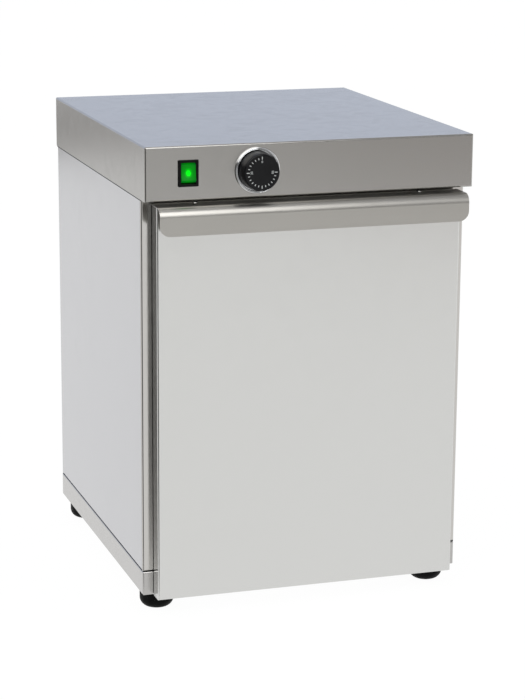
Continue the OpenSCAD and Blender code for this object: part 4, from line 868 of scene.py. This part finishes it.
def ribbed_gland():
    """The cable gland: a threaded stem, a six-sided flange and a ribbed cap, with an open bore."""
    low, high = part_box("cable_gland")
    seat = Vector(((low.x + high.x) / 2, low.y + STEM_L, (low.z + high.z) / 2))
    hex_r, out = (high.x - low.x) / 2, high.y - low.y - STEM_L
    stem = [(CABLE_R, -STEM_L), (STEM_R, -STEM_L)]
    for k in range(TURNS):
        stem += [(THREAD_R, (k + 0.35) * PITCH - STEM_L), (ROOT_R, (k + 0.85) * PITCH - STEM_L)]
    stem += [(THREAD_R, -0.3 * MM), (THREAD_R, 0), (CABLE_R, 0), (CABLE_R, -STEM_L)]
    flange = [(CABLE_R, 0), (hex_r, 0), (hex_r, HEX_L - HEX_BEVEL), (hex_r - HEX_BEVEL, HEX_L),
              (CABLE_R, HEX_L), (CABLE_R, 0)]
    cap = [(CABLE_R, HEX_L), (CAP_R, HEX_L), (CAP_R, out - CROWN_H)]
    cap += arc((CAP_R - CROWN_R, out - CROWN_H), CROWN_R, 0, 80, 8)
    cap += [(CABLE_R + 0.8 * MM, out - 0.2 * MM), (CABLE_R, out - 0.9 * MM), (CABLE_R, HEX_L)]
    black = MATERIALS["black_nylon"]
    turned = [lathe("gland_part", p, seat, BACKWARD, black, n)
              for p, n in ((stem, 64), (flange, 6), (cap, 64))]
    body = join("gland_body", [t.data for t in turned], black)
    gland = grow(gland_tree(), body.data,
                 {"Centre": tuple(seat + BACKWARD * (HEX_L + RIBS_FROM_HEX)), "Finish": black})
    for spare in (*turned, body):
        bpy.data.objects.remove(spare)
    smooth(gland, 30)
    hand_over(gland, "gland_ribbed", "cable_gland")


ribbed_gland()


# ---------- Wool, leads and rocker ----------

def copy_of(node):
    """A merged copy of a CAD node's mesh as a new object, with flat faces whole."""
    bm = merged(node)
    bmesh.ops.dissolve_limit(bm, angle_limit=math.radians(1), verts=bm.verts, edges=bm.edges)
    bmesh.ops.recalc_face_normals(bm, faces=bm.faces)
    return new_object(node + "_copy", mesh_of(bm, node + "_copy"))


def settle(thing, node):
    """Puts an object's modifiers into its mesh, and gives it the node's material."""
    mesh = evaluated_mesh(thing)
    thing.modifiers.clear()
    thing.data = mesh
    mesh.materials.clear()
    mesh.materials.append(MATERIALS[slot_of[node]])


def wool_slab(node):
    """A slab of matted wool: the CAD slab's shape, with tufts and hollows pressed into its faces."""
    thing = copy_of(node)
    remesh = thing.modifiers.new("felt", "REMESH")
    remesh.mode = "VOXEL"
    remesh.voxel_size = 5.5 * MM
    settle(thing, node)
    mesh = thing.data
    shove = []
    for v in mesh.vertices:
        coarse = noise.noise(v.co * 28.0) * 0.5 + 0.5
        fine = noise.noise(v.co * 140.0 + Vector((3.1, 7.7, 1.3))) * 0.5 + 0.5
        shove.append(v.normal * -(0.5 + 1.5 * coarse + 1.2 * fine) * MM)
    for v, d in zip(mesh.vertices, shove):
        v.co += d
    mesh.shade_smooth()
    hand_over(thing, node + "_felt", node)


def round_tubes(node):
    """Rounds off a CAD tube's flat sides."""
    bm = merged(node)
    bmesh.ops.recalc_face_normals(bm, faces=bm.faces)
    bmesh.ops.join_triangles(bm, faces=bm.faces, angle_face_threshold=math.radians(30),
                             angle_shape_threshold=math.radians(60))
    thing = new_object(node + "_copy", mesh_of(bm, node + "_copy"))
    rounder = thing.modifiers.new("round", "SUBSURF")
    rounder.levels = rounder.render_levels = 2
    settle(thing, node)
    thing.data.shade_smooth()
    hand_over(thing, node + "_round", node)


def soften(node, width):
    """A copy of a CAD node with its sharp edges rounded inwards."""
    thing = copy_of(node)
    rounder = thing.modifiers.new("soft edges", "BEVEL")
    rounder.width = width
    rounder.segments = 3
    rounder.limit_method = "ANGLE"
    rounder.angle_limit = math.radians(40)
    settle(thing, node)
    smooth(thing, 40)
    hand_over(thing, node + "_soft", node)


for node, slot in slot_of.items():
    if slot == "mineral_wool":
        wool_slab(node)
round_tubes("wiring")
round_tubes("capillary_tube")
soften("switch_rocker", 0.5 * MM)


# ---------- Studio ----------

def bare_material(name):
    """A material with no Principled shader, and its tree."""
    m = bpy.data.materials.new(name)
    m.use_nodes = True
    m.node_tree.nodes.remove(m.node_tree.nodes["Principled BSDF"])
    return m, m.node_tree


def plainly_seen(tree):
    """1 for camera, glossy and transmission rays, and 0 for the others."""
    path = tree.nodes.new("ShaderNodeLightPath").outputs
    return maths(tree, "MAXIMUM", path["Is Camera Ray"],
                 maths(tree, "MAXIMUM", path["Is Glossy Ray"], path["Is Transmission Ray"]))


def floor_material():
    """A white floor that keeps a pale shadow and shows white to the camera and in reflections."""
    m, tree = bare_material("studio_floor")
    position = tree.nodes.new("ShaderNodeTexCoord").outputs["Object"]
    tint = blend(tree, noise_at(tree, position, 3.0), (0.93, 0.93, 0.93, 1), (0.96, 0.96, 0.96, 1))
    lit = put(tree, "ShaderNodeBsdfDiffuse", {"Color": tint}).outputs[0]
    glow = put(tree, "ShaderNodeEmission", {"Color": (1, 1, 1, 1), "Strength": 1.04}).outputs[0]
    share = maths(tree, "MULTIPLY", plainly_seen(tree), 0.93)
    mixed = put(tree, "ShaderNodeMixShader", {0: share, 1: lit, 2: glow}).outputs[0]
    tree.links.new(mixed, tree.nodes["Material Output"].inputs[0])
    return m


def card_material(name, colour, strength):
    """A card's own even glow."""
    m, tree = bare_material(name)
    glow = put(tree, "ShaderNodeEmission", {"Color": (*colour, 1), "Strength": strength}).outputs[0]
    tree.links.new(glow, tree.nodes["Material Output"].inputs[0])
    return m


def stage_plane(name, corners, material, reflected_only=False):
    """A four-cornered sheet that belongs to the studio."""
    mesh = bpy.data.meshes.new(name)
    mesh.from_pydata(corners, [], [(0, 1, 2, 3)])
    mesh.materials.append(material)
    thing = new_object(name, mesh)
    if reflected_only:
        thing.visible_camera = thing.visible_diffuse = thing.visible_shadow = False
        thing.visible_transmission = False


def card(name, corners, colour, strength=1.0):
    """A flat thing of the studio that only shows in reflections."""
    stage_plane(name, corners, card_material(name, colour, strength), reflected_only=True)


def upright(x0, x1, y, z0, z1):
    """The corners of an upright card that faces the cabinet from the front or the back."""
    return [(x0, y, z0), (x1, y, z0), (x1, y, z1), (x0, y, z1)]


def level(z, *corners):
    """The corners of a level card at a height, from their places on the plan."""
    return [(x, y, z) for x, y in corners]


def softbox(name, place, target, side, power):
    """A square area lamp that looks at the target."""
    lamp = bpy.data.lights.new(name, "AREA")
    lamp.shape = "RECTANGLE"
    lamp.size = lamp.size_y = side
    lamp.energy = power
    thing = new_object(name, lamp)
    thing.location = place
    thing.rotation_euler = (Vector(target) - Vector(place)).to_track_quat("-Z", "Y").to_euler()


FLOOR_REACH = 12.0
stage_plane("floor", level(0, (-FLOOR_REACH, -FLOOR_REACH), (FLOOR_REACH, -FLOOR_REACH),
                           (FLOOR_REACH, FLOOR_REACH), (-FLOOR_REACH, FLOOR_REACH)), floor_material())

world = bpy.data.worlds.new("studio")
bpy.context.scene.world = world
world.use_nodes = True
sky = world.node_tree
fill_light = put(sky, "ShaderNodeBackground", {"Color": (0.96, 0.98, 1.0, 1), "Strength": 0.55}).outputs[0]
white = put(sky, "ShaderNodeBackground", {"Color": (1, 1, 1, 1), "Strength": 1.0}).outputs[0]
surround = put(sky, "ShaderNodeMixShader", {0: plainly_seen(sky), 1: fill_light, 2: white}).outputs[0]
sky.links.new(surround, sky.nodes["World Output"].inputs[0])

cabinet_middle = (cad_low + cad_high) / 2
softbox("key_softbox", (-1.6, -2.4, 2.3), cabinet_middle, 1.4, 12)
softbox("fill_softbox", (2.2, -2.0, 1.4), cabinet_middle, 1.6, 5)

# The room that the metal reflects: its half width, its front and back walls, and its ceiling.
ROOM_X, ROOM_FRONT, ROOM_BACK, ROOM_H = 6, -5.2, 4.6, 3
SPLIT_X, HORIZON_H = -0.6, 1.5      # where the front wall turns dark, and the top of its lower band
CARD_Z = 4 * MM                     # floor cards lie just over the floor

card("back_wall", upright(-ROOM_X, ROOM_X, ROOM_BACK, 0.25, 5), (0.72, 0.78, 0.92))
card("far_floor", level(CARD_Z, (-ROOM_X, 3.25), (1.5, 3.25), (1.5, ROOM_BACK), (-ROOM_X, ROOM_BACK)),
     (0.42, 0.41, 0.4))
card("front_horizon", upright(SPLIT_X, ROOM_X, ROOM_FRONT, 0.1, HORIZON_H), (0.22, 0.22, 0.22))
card("front_wall", upright(SPLIT_X, ROOM_X, ROOM_FRONT, HORIZON_H, ROOM_H), (0.45, 0.45, 0.46))
card("ceiling", level(ROOM_H, (-5, ROOM_FRONT), (ROOM_X, ROOM_FRONT), (ROOM_X, 0.6), (-5, 0.6)),
     (0.45, 0.45, 0.46))
card("camera_wall", upright(-ROOM_X, SPLIT_X, ROOM_FRONT, 0, ROOM_H), (0.12, 0.12, 0.12))
card("left_wall", [(-ROOM_X, ROOM_FRONT, 0), (-ROOM_X, 0.2, 0), (-ROOM_X, 0.2, ROOM_H),
                   (-ROOM_X, ROOM_FRONT, ROOM_H)], (0.12, 0.12, 0.12))
card("left_floor", level(CARD_Z, (-0.23, -0.26), (-0.9, -5), (-ROOM_X, -5), (-ROOM_X, -0.7)),
     (0.15, 0.148, 0.145))
card("right_floor", level(CARD_Z, (1.15, -2.9), (ROOM_X, -2.9), (ROOM_X, ROOM_FRONT), (1.15, ROOM_FRONT)),
     (0.62, 0.56, 0.54))
card("light_panel", [(-1.6, -2.6, 1.0), (0.6, -2.6, 1.0), (0.42, -0.95, 1.9), (-1.6, -0.95, 1.9)],
     (1, 1, 1), 3.2)
card("light_panel_top", [(-1.6, -0.4, 2.2), (0.36, -0.4, 2.2), (0.1, 0.9, 2.0), (-1.6, 0.9, 2.0)],
     (1, 1, 1), 1.3)


# ---------- Camera ----------

CAMERA_AT = (-0.8526, -2.6553, 0.9521)
CAMERA_TURN = (76.1546, -0.3908, -17.9368)     # degrees about X, Y and Z
CAMERA_LENS, SENSOR_WIDTH = 116.466, 36.0      # mm

camera_data = bpy.data.cameras.new("camera")
camera_data.sensor_fit = "AUTO"
camera_data.sensor_width = SENSOR_WIDTH
camera_data.lens = CAMERA_LENS
camera_data.clip_end = 50.0
camera = new_object("camera", camera_data)
camera.location = CAMERA_AT
camera.rotation_euler = [math.radians(a) for a in CAMERA_TURN]
bpy.context.scene.camera = camera
bpy.context.scene.view_settings.view_transform = "Standard"
